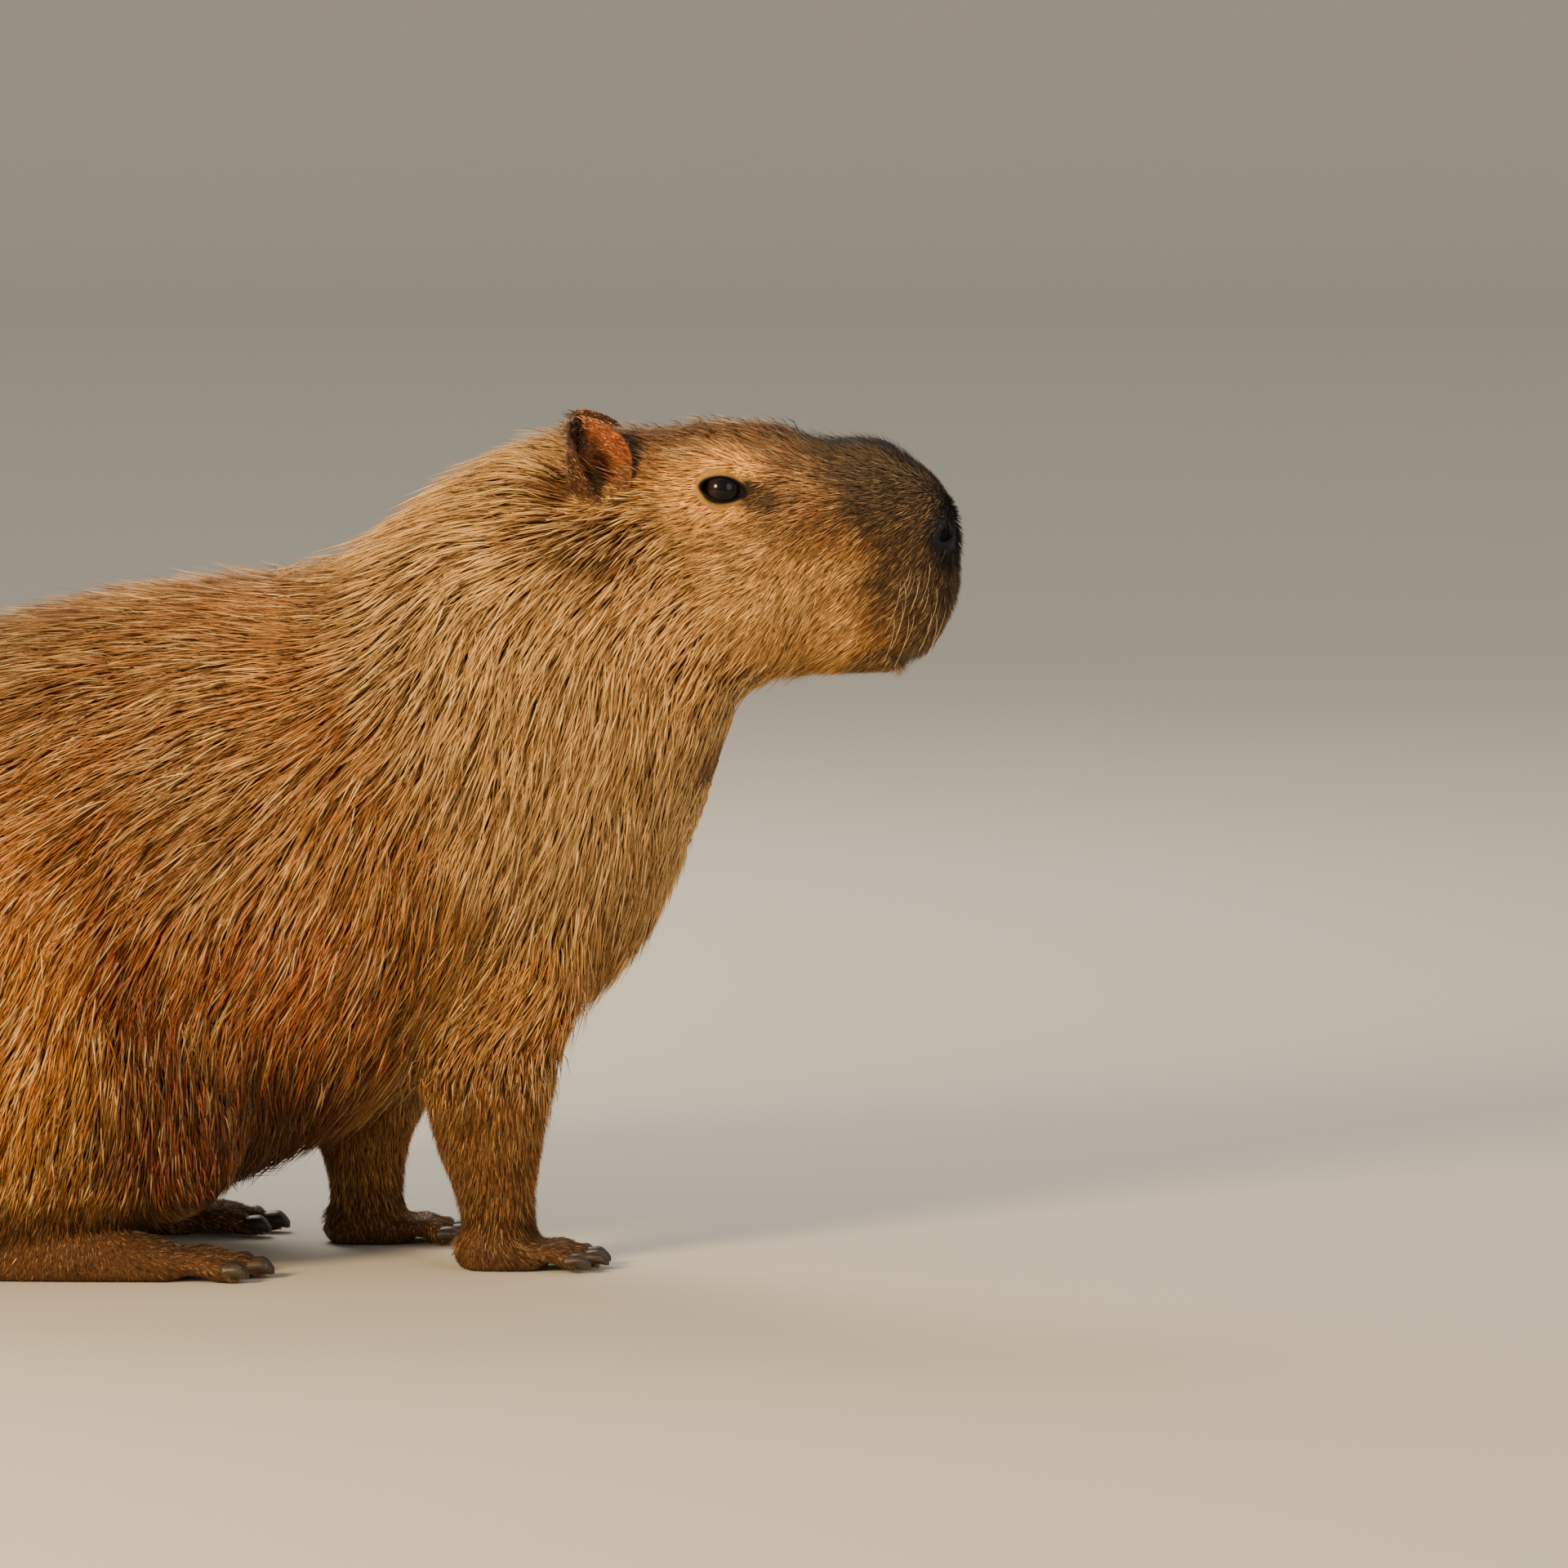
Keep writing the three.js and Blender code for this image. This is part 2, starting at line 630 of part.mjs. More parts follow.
function lockSolid(path, width, grow) {
  const steps = path.length - 1;
  return solid(
    loft(3, steps, (v, a) => {
      const { p, normal, sideways } = path[Math.round(v * steps)];
      const atPole = v === 0 || v === 1;
      const w = atPole ? 0 : (width / 2) * LOCK_SHAPE.width(v) + 2 * grow;
      const h = atPole ? 0 : (LOCK.thick / 2) * LOCK_SHAPE.thick(v) + grow;
      const sink = v === 0 ? 1.5 * grow : 0;
      const middle = p.clone().addScaledVector(normal, -LOCK_SHAPE.depth(v) - sink);
      const along = new THREE.Vector3().crossVectors(sideways, normal);
      if (atPole) middle.addScaledVector(along, v === 1 ? 2 * grow : -4 * grow);
      const turn = a + Math.PI / 2;
      const edge = { w: (w * Math.cos(turn)) / Math.cos(Math.PI / 6), h: h * (Math.sin(turn) > 0.9 ? 1 : -1) };
      return middle.addScaledVector(sideways, edge.w).addScaledVector(normal, edge.h);
    }),
  );
}

// Roots scattered evenly, further apart along the lie than beside it.
function scatterRoots(candidate, allowed, random) {
  const roots = [];
  for (let tries = 0; tries < 5000; tries++) {
    const p = candidate(random);
    if (!allowed(p)) continue;
    const along = lieAt(p);
    const isClear = (q) => {
      const apart = q.clone().sub(p);
      const lengthwise = apart.dot(along);
      const across = Math.sqrt(Math.max(0, apart.lengthSq() - lengthwise ** 2));
      return (lengthwise / LOCK.apart) ** 2 + (across / LOCK.beside) ** 2 > 1;
    };
    if (roots.every(isClear)) roots.push(p);
  }
  return roots;
}

// Each lock as its solid and the slightly larger one that neighbours are cut with.
// A lock that would end where it is not free to is made shorter.
// A lock's twisted end can come out of its own grown shape, so its cutter takes in the lock moved each way too.
const shiftedAllWays = (shape) =>
  union([1, -1].flatMap((w) => [[w, 0, 0], [0, w, 0], [0, 0, w]].map((way) => shape.translate(way))));

function growLocks(field, roots, isFree, random) {
  const shortest = 0.45 * LOCK.length;
  const steady = ({ normal }, i, path) => i === 0 || normal.dot(path[i - 1].normal) > LOCK.steadiness;
  const fits = (path) => path.every(({ p }) => isFree(p)) && path.every(steady);
  return roots.flatMap((root) => {
    const bend = 0.7 * (random() - 0.5);
    const width = LOCK.width * (0.8 + 0.4 * random());
    let length = LOCK.length * (0.88 + 0.24 * random());
    let path = lockPath(field, root, bend, length);
    while (length > shortest && !fits(path)) {
      length -= 0.1 * LOCK.length;
      path = lockPath(field, root, bend, length);
    }
    if (length <= shortest || !fits(path)) return [];
    const shape = lockSolid(path, width, 0);
    const grown = lockSolid(path, width, LOCK.clearance);
    const twisted = shape.subtract(grown).volume() > LOCK.spill;
    return [{ root, shape, cutter: twisted ? grown.add(shiftedAllWays(shape)) : grown }];
  });
}

const smoothStep = (low, high, x) => THREE.MathUtils.smoothstep(x, low, high);

// The core is nearly at the outline by the head and by the floor.
function coreDepth(x, z) {
  const behindHead = NECK_FRONT.offset - NECK_FRONT.normal[0] * x - NECK_FRONT.normal[2] * z;
  return CORE_DEPTH * smoothStep(-4, 26, behindHead) * smoothStep(10, 45, z);
}

function placed(shape, [x, y]) {
  return shape.translate([x, y, 0]);
}

const FORELEG_STRETCHES = [[190, 6]];
const HAUNCH_STRETCHES = [[-83, 6]];
const HAUNCH_INNER_Y = -88; // where the haunch is parted from the flank behind it
const HAUNCH = haunchForm();

const outside = (shape, y) => shape.trimByPlane([0, -1, 0], -y);

// One haunch with its coat: it overlaps the torso behind and above it.
function haunchPieces() {
  const outline = formShape(HAUNCH, 18, 3, HAUNCH_STRETCHES);
  const core = (grow) => solid(outline, (x, y, z) => grow - CORE_DEPTH * smoothStep(30, 90, z));
  const random = randomFrom(5);
  const field = (p) => smoothMin(trunkField(p), formField(HAUNCH, p), 12);
  const candidate = () => {
    const s = HAUNCH.from + random() * (HAUNCH.to - HAUNCH.from);
    return ontoSurface(field, HAUNCH.at(s, Math.PI * (0.5 + random())));
  };
  const allowed = (p) => p.z > 72 && p.y < HAUNCH_INNER_Y - 12 && trunkField(p) > 3;
  const isFree = (p) => p.z > 18;
  const locks = growLocks(field, scatterRoots(candidate, allowed, random), isFree, random);
  return {
    shape: union([outside(core(0), HAUNCH_INNER_Y - SEAM / 2), ...locks.map((lock) => lock.shape)]),
    cutters: [outside(core(SEAM), HAUNCH_INNER_Y + SEAM / 2), ...locks.map((lock) => lock.cutter)],
  };
}

// Locks of torso and neck together, on both sides, clear of the limbs.
function trunkLocks() {
  const random = randomFrom(11);
  const leg = forelegForm(0);
  const farLeg = forelegForm(FAR_FORELEG_BACK);
  const candidate = () => {
    const s = BODY.from + 12 + random() * (300 - BODY.from);
    return ontoSurface(trunkField, BODY.at(s, 2 * Math.PI * random()));
  };
  const isFree = (p) => {
    const onRight = new THREE.Vector3(p.x, -Math.abs(p.y), p.z);
    const inLeg = p.z < 190 && formField(p.y < 0 ? leg : farLeg, onRight) < 2;
    return p.z > 18 && !inLeg && formField(HAUNCH, onRight) > 2;
  };
  const headMargin = 12;
  const normal = new THREE.Vector3(...NECK_FRONT.normal);
  const allowed = (p) => p.z > 44 && normal.dot(p) < NECK_FRONT.offset - headMargin && isFree(p);
  return growLocks(trunkField, scatterRoots(candidate, allowed, random), isFree, random);
}

// Every limb piece of one side, each with the slightly larger solids that its
// neighbours are cut with.
function limbPieces(side, haunch) {
  const onSide = (shape) => (side === "right" ? shape : mirrored(shape));
  const stepBack = side === "right" ? 0 : FAR_FORELEG_BACK;
  const leg = formShape(forelegForm(stepBack), 14, 2, FORELEG_STRETCHES);
  const [foreX, foreY] = FOREFOOT_PLACE;
  const forefootAt = [foreX - stepBack, foreY];
  const upTo = (shape, z) => shape.trimByPlane([0, 0, -1], -z + SEAM / 2);
  const above = (shape, z) => shape.trimByPlane([0, 0, 1], z + SEAM / 2);
  const wrist = (grow) => union([solid(leg, grow), placed(foot(FOREFOOT, grow), forefootAt)]);
  const hindfoot = (grow) => placed(foot(HINDFOOT, grow), HINDFOOT_PLACE);
  const clawsOf = (kind, spec, place) =>
    spec.toes.map((toe, i) => ({
      name: `claw_${kind}_${side}_${i + 1}`,
      shape: placed(claw(spec, toe), place),
      cutters: [placed(claw(spec, toe, SEAM), place)],
    }));
  const pieces = [
    ...clawsOf("fore", FOREFOOT, forefootAt),
    ...clawsOf("hind", HINDFOOT, HINDFOOT_PLACE),
    { name: "forefoot_" + side, shape: upTo(wrist(0), WRIST_Z), cutters: [upTo(wrist(SEAM), WRIST_Z + SEAM)] },
    { name: "foreleg_" + side, shape: above(solid(leg), WRIST_Z), cutters: [solid(leg, SEAM)] },
    { name: "hindfoot_" + side, shape: hindfoot(0), cutters: [hindfoot(SEAM)] },
    { name: "haunch_" + side, ...haunch },
  ];
  return pieces.map(({ name, shape, cutters }) => ({
    name,
    shape: onSide(shape),
    cutters: cutters.map(onSide),
  }));
}

// The pieces of the head that stand in it.
function headPieces(side) {
  const onSide = (shape) => (side === "right" ? shape : mirrored(shape));
  const eyeball = (grow) => ellipsoid([EYE.x, -EYE.y, EYE.z], Array(3).fill(EYE.r + grow), 14, 10);
  return [
    { name: "eye_" + side, shape: onSide(eyeball(0)), cutters: [onSide(eyeball(SEAM))] },
    { name: "ear_" + side, shape: onSide(ear()), cutters: [onSide(ear(SEAM))] },
  ];
}

// Builds every node. Each piece is cut by those before it in the list. The
// trunk comes last: it is parted into three and cut by them all.
function build() {
  const nodes = {};
  const cutters = [];
  const addPiece = (name, shape) => {
    const cut = cutters.reduce((a, b) => a.subtract(b), shape);
    nodes[name] = cut.trimByPlane([0, 0, 1], FLOOR);
  };
  const haunch = haunchPieces();
  const pieces = [
    ...["right", "left"].flatMap((side) => [...limbPieces(side, haunch), ...headPieces(side)]),
    { name: "tail", shape: tail(), cutters: [tail(SEAM)] },
  ];
  for (const piece of pieces) {
    addPiece(piece.name, piece.shape);
    cutters.push(...piece.cutters);
  }
  const trunk = headHollows().reduce((a, b) => a.subtract(b), torsoNeckAndHead());
  const locks = trunkLocks();
  const isNeck = ({ root }) => new THREE.Vector3(...NECK_BACK.normal).dot(root) > NECK_BACK.offset;
  const neckLocks = locks.filter(isNeck);
  const torsoLocks = locks.filter((lock) => !isNeck(lock));
  addPiece("head", inFrontOf(trunk, NECK_FRONT));
  const neckCore = inFrontOf(behind(trunk, NECK_FRONT), NECK_BACK);
  const neckCoat = behind(union(neckLocks.map((lock) => lock.shape)), NECK_FRONT);
  addPiece("neck", neckCore.add(neckCoat));
  cutters.push(...neckLocks.map((lock) => lock.cutter));
  const torsoCoat = union(torsoLocks.map((lock) => lock.shape));
  addPiece("torso", behind(trunk.add(torsoCoat), NECK_BACK));
  return nodes;
}

function asMesh(name, shape) {
  const body = oneBody(shape);
  const { vertProperties, triVerts, numProp } = body.getMesh();
  const xyz = new Float32Array((vertProperties.length / numProp) * 3);
  for (let i = 0; i < xyz.length / 3; i++) {
    xyz.set(vertProperties.subarray(i * numProp, i * numProp + 3), i * 3);
  }
  const g = new THREE.BufferGeometry();
  g.setAttribute("position", new THREE.BufferAttribute(xyz, 3));
  g.setIndex(new THREE.BufferAttribute(new Uint32Array(triVerts), 1));
  g.computeVertexNormals();
  const kind = Object.keys(COLOURS).find((k) => name.startsWith(k));
  const colour = COLOURS[kind] ?? (name.includes("foot") ? COLOURS.feet : COLOURS.coat);
  const material = new THREE.MeshStandardMaterial({
    color: colour,
    roughness: kind === "eye" ? 0.1 : 0.85,
    metalness: 0,
  });
  const mesh = new THREE.Mesh(g, material);
  mesh.name = name;
  return mesh;
}

const capybara = new THREE.Group();
for (const [name, shape] of Object.entries(build())) capybara.add(asMesh(name, shape));

// The origin is on the floor under the middle of the animal's length and width.
const reach = new THREE.Box3().setFromObject(capybara);
capybara.position.set(-(reach.min.x + reach.max.x) / 2, -(reach.min.y + reach.max.y) / 2, 0);

export default capybara;
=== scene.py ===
"""A life-size museum model of a sitting adult capybara: skin, coat, eyes, claws and whiskers."""

import math

import bpy
import numpy as np
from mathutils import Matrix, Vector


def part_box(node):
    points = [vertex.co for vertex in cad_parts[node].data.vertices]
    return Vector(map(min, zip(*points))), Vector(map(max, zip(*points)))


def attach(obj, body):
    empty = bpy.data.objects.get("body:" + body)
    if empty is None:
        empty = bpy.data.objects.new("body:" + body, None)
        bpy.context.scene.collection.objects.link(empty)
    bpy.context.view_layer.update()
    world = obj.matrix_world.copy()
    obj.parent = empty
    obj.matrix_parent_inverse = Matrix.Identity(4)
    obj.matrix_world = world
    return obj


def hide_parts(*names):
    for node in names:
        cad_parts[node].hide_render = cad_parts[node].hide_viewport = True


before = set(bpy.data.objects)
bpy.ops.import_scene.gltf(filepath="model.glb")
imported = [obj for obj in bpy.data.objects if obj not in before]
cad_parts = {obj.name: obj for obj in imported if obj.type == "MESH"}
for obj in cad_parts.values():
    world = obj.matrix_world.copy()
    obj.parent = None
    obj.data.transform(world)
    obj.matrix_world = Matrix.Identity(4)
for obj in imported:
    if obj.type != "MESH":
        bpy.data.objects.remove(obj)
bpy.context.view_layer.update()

bl_info = {
    "name": "Capybara Model",
    "version": (1, 0, 0),
    "blender": (4, 5, 0),
    "location": "View3D > Sidebar > Capybara",
    "description": "Builds the skin, coat and fittings of a life-size capybara",
    "category": "Object",
}

# Sizes below are millimetres in the drawing of the animal: +X is forwards, +Z up, and y = 0 is
# the plane down its middle. The right side has negative y.
MM = 0.001
EYE_X, EYE_Z, EYE_R, EYE_STANDS_OUT = 288.0, 531.0, 13.5, 5.0
EYE_LEAN = math.radians(14)  # how far forwards each eye looks
RIGHT, LEFT = -1, 1
SIDES = {"right": RIGHT, "left": LEFT}
eye_low, eye_high = (np.array(corner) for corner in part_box("eye_right"))
SHIFT_X = (eye_low[0] + eye_high[0]) / 2 / MM - EYE_X  # from the drawing to the frame


# Smooth curve through pairs of place and value that never overshoots them.
def profile(*pairs):
    places, values = np.array(pairs, dtype=float).T
    widths = np.diff(places)
    slopes = np.diff(values) / widths
    tangents = np.zeros(len(places))
    tangents[0], tangents[-1] = slopes[0], slopes[-1]
    before, after = slopes[:-1], slopes[1:]
    same = before * after > 0
    total = np.where(same, before + after, 1)
    tangents[1:-1] = np.where(same, 2 * before * after / total, 0)

    def value(place):
        place = np.clip(place, places[0], places[-1])
        i = np.clip(np.searchsorted(places, place, side="right") - 1, 0, len(places) - 2)
        t = (place - places[i]) / widths[i]
        ends = (2 * t**3 - 3 * t**2 + 1) * values[i] + (3 * t**2 - 2 * t**3) * values[i + 1]
        leans = (t**3 - 2 * t**2 + t) * tangents[i] + (t**3 - t**2) * tangents[i + 1]
        return ends + leans * widths[i]

    return value


def steady(value):
    return lambda place: np.full_like(np.asarray(place, dtype=float), value)


def smooth_step(low, high, value):
    t = np.clip((value - low) / (high - low), 0, 1)
    return t * t * (3 - 2 * t)


def smooth_min(a, b, blend):
    h = np.maximum(blend - np.abs(a - b), 0) / blend
    return np.minimum(a, b) - h * h * blend / 4


def smooth_max(a, b, blend):
    return -smooth_min(-a, -b, blend)


# A form made of rounded sections across one axis, with both ends rounded off.
class Form:
    def __init__(self, axis, start, end, caps, top, bottom, level, side, half, **squares):
        self.axis, self.start, self.end, self.caps = axis, start, end, caps
        self.top, self.bottom, self.level, self.side, self.half = top, bottom, level, side, half
        self.square_top = squares.get("square_top", steady(2))
        self.square_bottom = squares.get("square_bottom", steady(2))
        self.square_front = squares.get("square_front", 2)

    # Below zero inside the form and above it outside, about in millimetres.
    def field(self, x, y, z):
        s, up = (x, z) if self.axis == "x" else (z, x)
        back = np.maximum(0, 1 - (s - self.start) / self.caps[0])
        front = np.maximum(0, 1 - (self.end - s) / self.caps[1])
        power = np.where(back > front, 2, self.square_front)
        ending = np.maximum(0, 1 - np.maximum(back, front) ** power) ** (1 / power)
        level = self.level(s)
        over = np.maximum((self.top(s) - level) * ending, 1e-3)
        under = np.maximum((level - self.bottom(s)) * ending, 1e-3)
        half = np.maximum(self.half(s) * ending, 1e-3)
        square_top, square_bottom = self.square_top(s), self.square_bottom(s)
        across = np.abs(y - self.side(s)) + 1e-3
        rise = up - level
        above = rise > 0
        n = np.where(above, square_top, square_bottom)
        height = np.abs(rise) + 1e-3
        q = ((across / half) ** n + (height / np.where(above, over, under)) ** n) ** (1 / n)
        return np.sqrt(across**2 + height**2) * (1 - 1 / q)


BODY = Form(
    "x", -448, 449, (150, 46),
    square_front=2.5,
    square_top=profile((-448, 2.1), (120, 2.1), (200, 2), (250, 2.6), (449, 2.6)),
    square_bottom=profile((-448, 2.2), (180, 2.2), (290, 2), (449, 2.1)),
    top=profile(
        (-448, 330), (-392, 372), (-320, 395), (-208, 441), (-96, 466), (10, 476), (45, 496),
        (100, 538), (156, 564), (200, 570), (240, 571), (296, 576), (330, 573), (352, 566),
        (375, 563), (397, 560), (419, 550), (449, 547),
    ),
    bottom=profile(
        (-448, -40), (-392, -26), (-320, -2), (-208, 2), (-130, 18), (-60, 45), (27, 84),
        (110, 135), (175, 158), (229, 207), (262, 270), (284, 346), (298, 381), (330, 396),
        (380, 401), (410, 408), (449, 411),
    ),
    level=profile(
        (-448, 150), (-320, 165), (-96, 225), (100, 290), (200, 388), (262, 452), (300, 474),
        (350, 480), (449, 487),
    ),
    side=steady(0),
    half=profile(
        (-448, 122), (-392, 136), (-320, 150), (-208, 160), (-96, 166), (40, 152), (130, 120),
        (200, 93), (240, 78), (290, 67), (330, 62), (370, 55), (405, 50), (449, 49),
    ),
)
HAUNCH = Form(
    "x", -338, -28, (90, 55),
    square_top=steady(2.1),
    square_bottom=steady(2.4),
    top=profile(
        (-338, 318), (-290, 330), (-240, 334), (-190, 322), (-150, 298), (-110, 264), (-78, 228),
        (-28, 206),
    ),
    bottom=profile((-338, 4), (-262, -6), (-200, 14), (-150, 27), (-100, 35), (-28, 42)),
    level=profile((-338, 150), (-200, 140), (-28, 128)),
    side=steady(-112),
    half=profile((-338, 62), (-260, 68), (-200, 69), (-120, 62), (-60, 53), (-28, 48)),
)
FAR_FORELEG_BACK = 95  # the left foreleg stands this much further back


def foreleg(step_back):
    back = profile((8, step_back), (60, 0.98 * step_back), (135, 0.78 * step_back), (235, 0.3 * step_back))
    along = profile((8, 138), (45, 134), (78, 130), (135, 128), (180, 138), (235, 150))
    reach = profile((8, 25), (45, 28), (78, 36), (100, 42), (135, 50), (180, 58), (235, 62))
    return Form(
        "z", 0, 240, (10, 50),
        top=lambda z: along(z) - back(z) + reach(z),
        bottom=lambda z: along(z) - back(z) - reach(z),
        level=lambda z: along(z) - back(z),
        side=profile((8, -72), (135, -72), (190, -64), (235, -58)),
        half=profile((8, 24), (45, 24), (78, 28), (135, 37), (180, 36), (235, 26)),
    )


FORELEGS = {RIGHT: foreleg(0), LEFT: foreleg(FAR_FORELEG_BACK)}

# Swellings of the head: name, centre, radii, and how softly each blends in.
SWELLINGS = (
    ("cheek", (292, 34, 452), (58, 40, 56), 14),
    ("brow", (284, 46, 550), (30, 18, 12), 14),
    ("lip pad", (412, 24, 456), (33, 27, 40), 10),
    ("nostril wing", (434, 25, 499), (15, 14, 17), 6),
    ("snout gland", (370, 0, 556), (44, 20, 11), 9),
    ("chin", (398, 0, 419), (30, 24, 17), 8),
)

FOREFOOT = {
    "length": 66, "heel_round": 16, "heights": (36, 34, 20), "halves": (22, 27, 27), "toe": 8.5,
    "toes": ((-22, 14), (-8, 26), (7, 27), (20, 18)),
}
HINDFOOT = {
    "length": 168, "heel_round": 30, "heights": (60, 46, 24), "halves": (22, 27, 30), "toe": 10.5,
    "toes": ((-20, 28), (0, 44), (20, 32)),
}
FOREFOOT_PLACE = {RIGHT: (106, -72), LEFT: (106 - FAR_FORELEG_BACK, -72)}
HINDFOOT_PLACE = (-240, -126)


def ellipsoid_field(x, y, z, centre, radii):
    ratio = np.sqrt(sum(((p - c) / r) ** 2 for p, c, r in zip((x, y, z), centre, radii)))
    return (ratio - 1) * min(radii)


# A bent, tapering rod through points with a radius at each, flattened in z.
def rod_field(x, y, z, points, radii, flatten=1.0):
    field = 1e3
    for (a, b), (ra, rb) in zip(zip(points[:-1], points[1:]), zip(radii[:-1], radii[1:])):
        d = [q - p for p, q in zip(a, b)]
        t = ((x - a[0]) * d[0] + (y - a[1]) * d[1] + (z - a[2]) * d[2]) / sum(v * v for v in d)
        t = np.clip(t, 0, 1)
        off = [p - (o + t * v) for p, o, v in zip((x, y, z), a, d)]
        gap = np.sqrt(off[0] ** 2 + off[1] ** 2 + (off[2] / flatten) ** 2) - (ra + (rb - ra) * t)
        field = smooth_min(field, gap, 2.0)
    return field


def toe_line(spec, toe):
    side, reach = toe
    steps = ((-34, 0.7, 11), (0.3 * reach, 1.05, 12), (0.7 * reach, 1.22, 9), (reach, 1.34, 6))
    return [(spec["length"] + ahead, side * spread, z) for ahead, spread, z in steps]


def foot_field(x, y, z, spec):
    length = spec["length"]
    heights, halves = spec["heights"], spec["halves"]
    sole = Form(
        "x", 0, length, (spec["heel_round"], 18),
        top=profile((0, heights[0]), (0.45 * length, heights[1]), (length, heights[2])),
        bottom=steady(-4), level=steady(8), side=steady(0),
        half=profile((0, halves[0]), (0.5 * length, halves[1]), (length, halves[2])),
        square_bottom=steady(2.6),
    )
    field = sole.field(x, y, z)
    for toe in spec["toes"]:
        radii = [share * spec["toe"] for share in (1, 1.05, 1, 0.8)]
        field = smooth_min(field, rod_field(x, y, z, toe_line(spec, toe), radii, 0.85), 4)
    return field


EAR = {"x": 207, "y": 53, "z": 516, "height": 65, "width": 44, "wall": 5}
EAR_FACING = math.radians(-56)
EAR_WIDTH = profile((0, 0.6), (0.3, 0.9), (0.6, 1), (0.85, 0.88), (0.96, 0.62), (1, 0.3))
EAR_CURL = profile((0, 150), (0.4, 112), (0.8, 92), (1, 85))


# How far a place is up the ear, and where it is round the ear's own axis.
def ear_place(x, y, z):
    t = np.clip((z - EAR["z"]) / EAR["height"], 0, 1)
    radius = EAR["width"] / 2 * EAR_WIDTH(t)
    back_off = 0.42 * EAR["width"] - radius
    across = x - (EAR["x"] - 6 * t - back_off * math.cos(EAR_FACING))
    out = (y - (-EAR["y"] - 7 * t - back_off * math.sin(EAR_FACING))) / 0.9
    r = np.sqrt(across**2 + out**2)
    turn = np.arctan2(out, across) - EAR_FACING - math.pi
    turn = np.abs((turn + math.pi) % (2 * math.pi) - math.pi)
    return t, radius, r, turn


def ear_field(x, y, z):
    t, radius, r, turn = ear_place(x, y, z)
    past_rim = np.maximum(0, turn - np.radians(EAR_CURL(t))) * r
    round_off = np.clip(turn / np.radians(95), 0, 1.1)
    edge = EAR["height"] * (1 - 0.1 * round_off**2 - 0.16 * round_off**4) - 2
    past_top = np.maximum(0, z - EAR["z"] - edge)
    past_foot = np.maximum(0, EAR["z"] - z)
    wall = 1.9 + 0.8 * (1 - t)
    leaf = np.sqrt((r - radius) ** 2 + past_rim**2 + past_top**2 + past_foot**2) - wall
    root = ellipsoid_field(x, y, z, (204, -49, EAR["z"] + 7), (20, 17, 13))
    return smooth_min(leaf, root, 5)


def neck_front(x, z):
    along = np.array([288 - 150, 350 - 575]) / math.hypot(288 - 150, 350 - 575)
    return -along[1] * (x - 150) + along[0] * (z - 575)


# Depth of the coat from its outline in to the skin, on the trunk.
def trunk_depth(x, z):
    head = smooth_step(-50, 85, neck_front(x, z))
    muzzle = smooth_step(330, 400, x)
    crown = smooth_step(545, 570, z) * (1 - muzzle)
    jaw = smooth_step(430, 405, z) * (1 - muzzle)
    on_head = 4.5 + 3 * crown + 4 * jaw - 2.5 * muzzle
    return (21 * (1 - head) + on_head * head) * smooth_step(-10, 40, z) + 1


# Every form that joins the trunk: its field, its coat's depth, its blend, and the box it is in.
def joined_forms():
    def on_right(field):
        return lambda x, y, z: field(x, -np.abs(y), z)

    def hind(x, y, z):
        return foot_field(x - HINDFOOT_PLACE[0], -np.abs(y) - HINDFOOT_PLACE[1], z, HINDFOOT)

    def even(depth):
        return lambda x, z: depth + 0 * z

    def deeper_above(least, gain, low, high):
        return lambda x, z: least + gain * smooth_step(low, high, z)

    forms = [
        (on_right(HAUNCH.field), deeper_above(3, 13, 30, 110), 14, (-360, 0, -200, 200, -10, 360)),
        (hind, even(1.5), 8, (-260, 20, -200, 200, -10, 80)),
        (on_right(ear_field), even(0.6), 5, (160, 250, -110, 110, 490, 600)),
    ]
    for side, form in FORELEGS.items():
        place = FOREFOOT_PLACE[side]

        def leg(x, y, z, form=form, side=side):
            return form.field(x, -y * side, z)

        def fore(x, y, z, place=place, side=side):
            return foot_field(x - place[0], -y * side - place[1], z, FOREFOOT)

        reach = (-150, 0) if side == RIGHT else (0, 150)
        forms.append((leg, deeper_above(3.5, 9, 70, 180), 22, (-40, 240, *reach, -10, 270)))
        forms.append((fore, even(1.5), 8, (-20, 240, *reach, -10, 60)))

    def tail(x, y, z):
        return rod_field(x, y, z, ((-418, 0, 128), (-440, 0, 122), (-458, 0, 112)), (15, 14, 8))

    forms.append((tail, even(3), 8, (-480, -380, -40, 40, 80, 160)))
    return forms


def plain_trunk(x, y, z):
    field = BODY.field(x, y, z)
    side = np.abs(y)
    for _, centre, radii, blend in SWELLINGS:
        field = smooth_min(field, ellipsoid_field(x, side, z, centre, radii), blend)
    return field


def outward_reach(field, x, z, low=0.0, high=120.0):
    low, high = np.full_like(x, low), np.full_like(x, high)
    for _ in range(24):
        y = (low + high) / 2
        inside = field(x, y, z) < 0
        low, high = np.where(inside, y, low), np.where(inside, high, y)
    return low


EYE_Y = float(outward_reach(plain_trunk, np.array([EYE_X]), np.array([EYE_Z]))[0]) + EYE_STANDS_OUT - EYE_R
FORMS = joined_forms()


# The mouth's line seen from the side, and how far it stands open at the front.
MOUTH_UPPER = profile((382, 431), (398, 424.5), (412, 420), (450, 418))
MOUTH_LOWER = profile((382, 430.5), (396, 423), (405, 416), (413, 404), (421, 390), (450, 384))


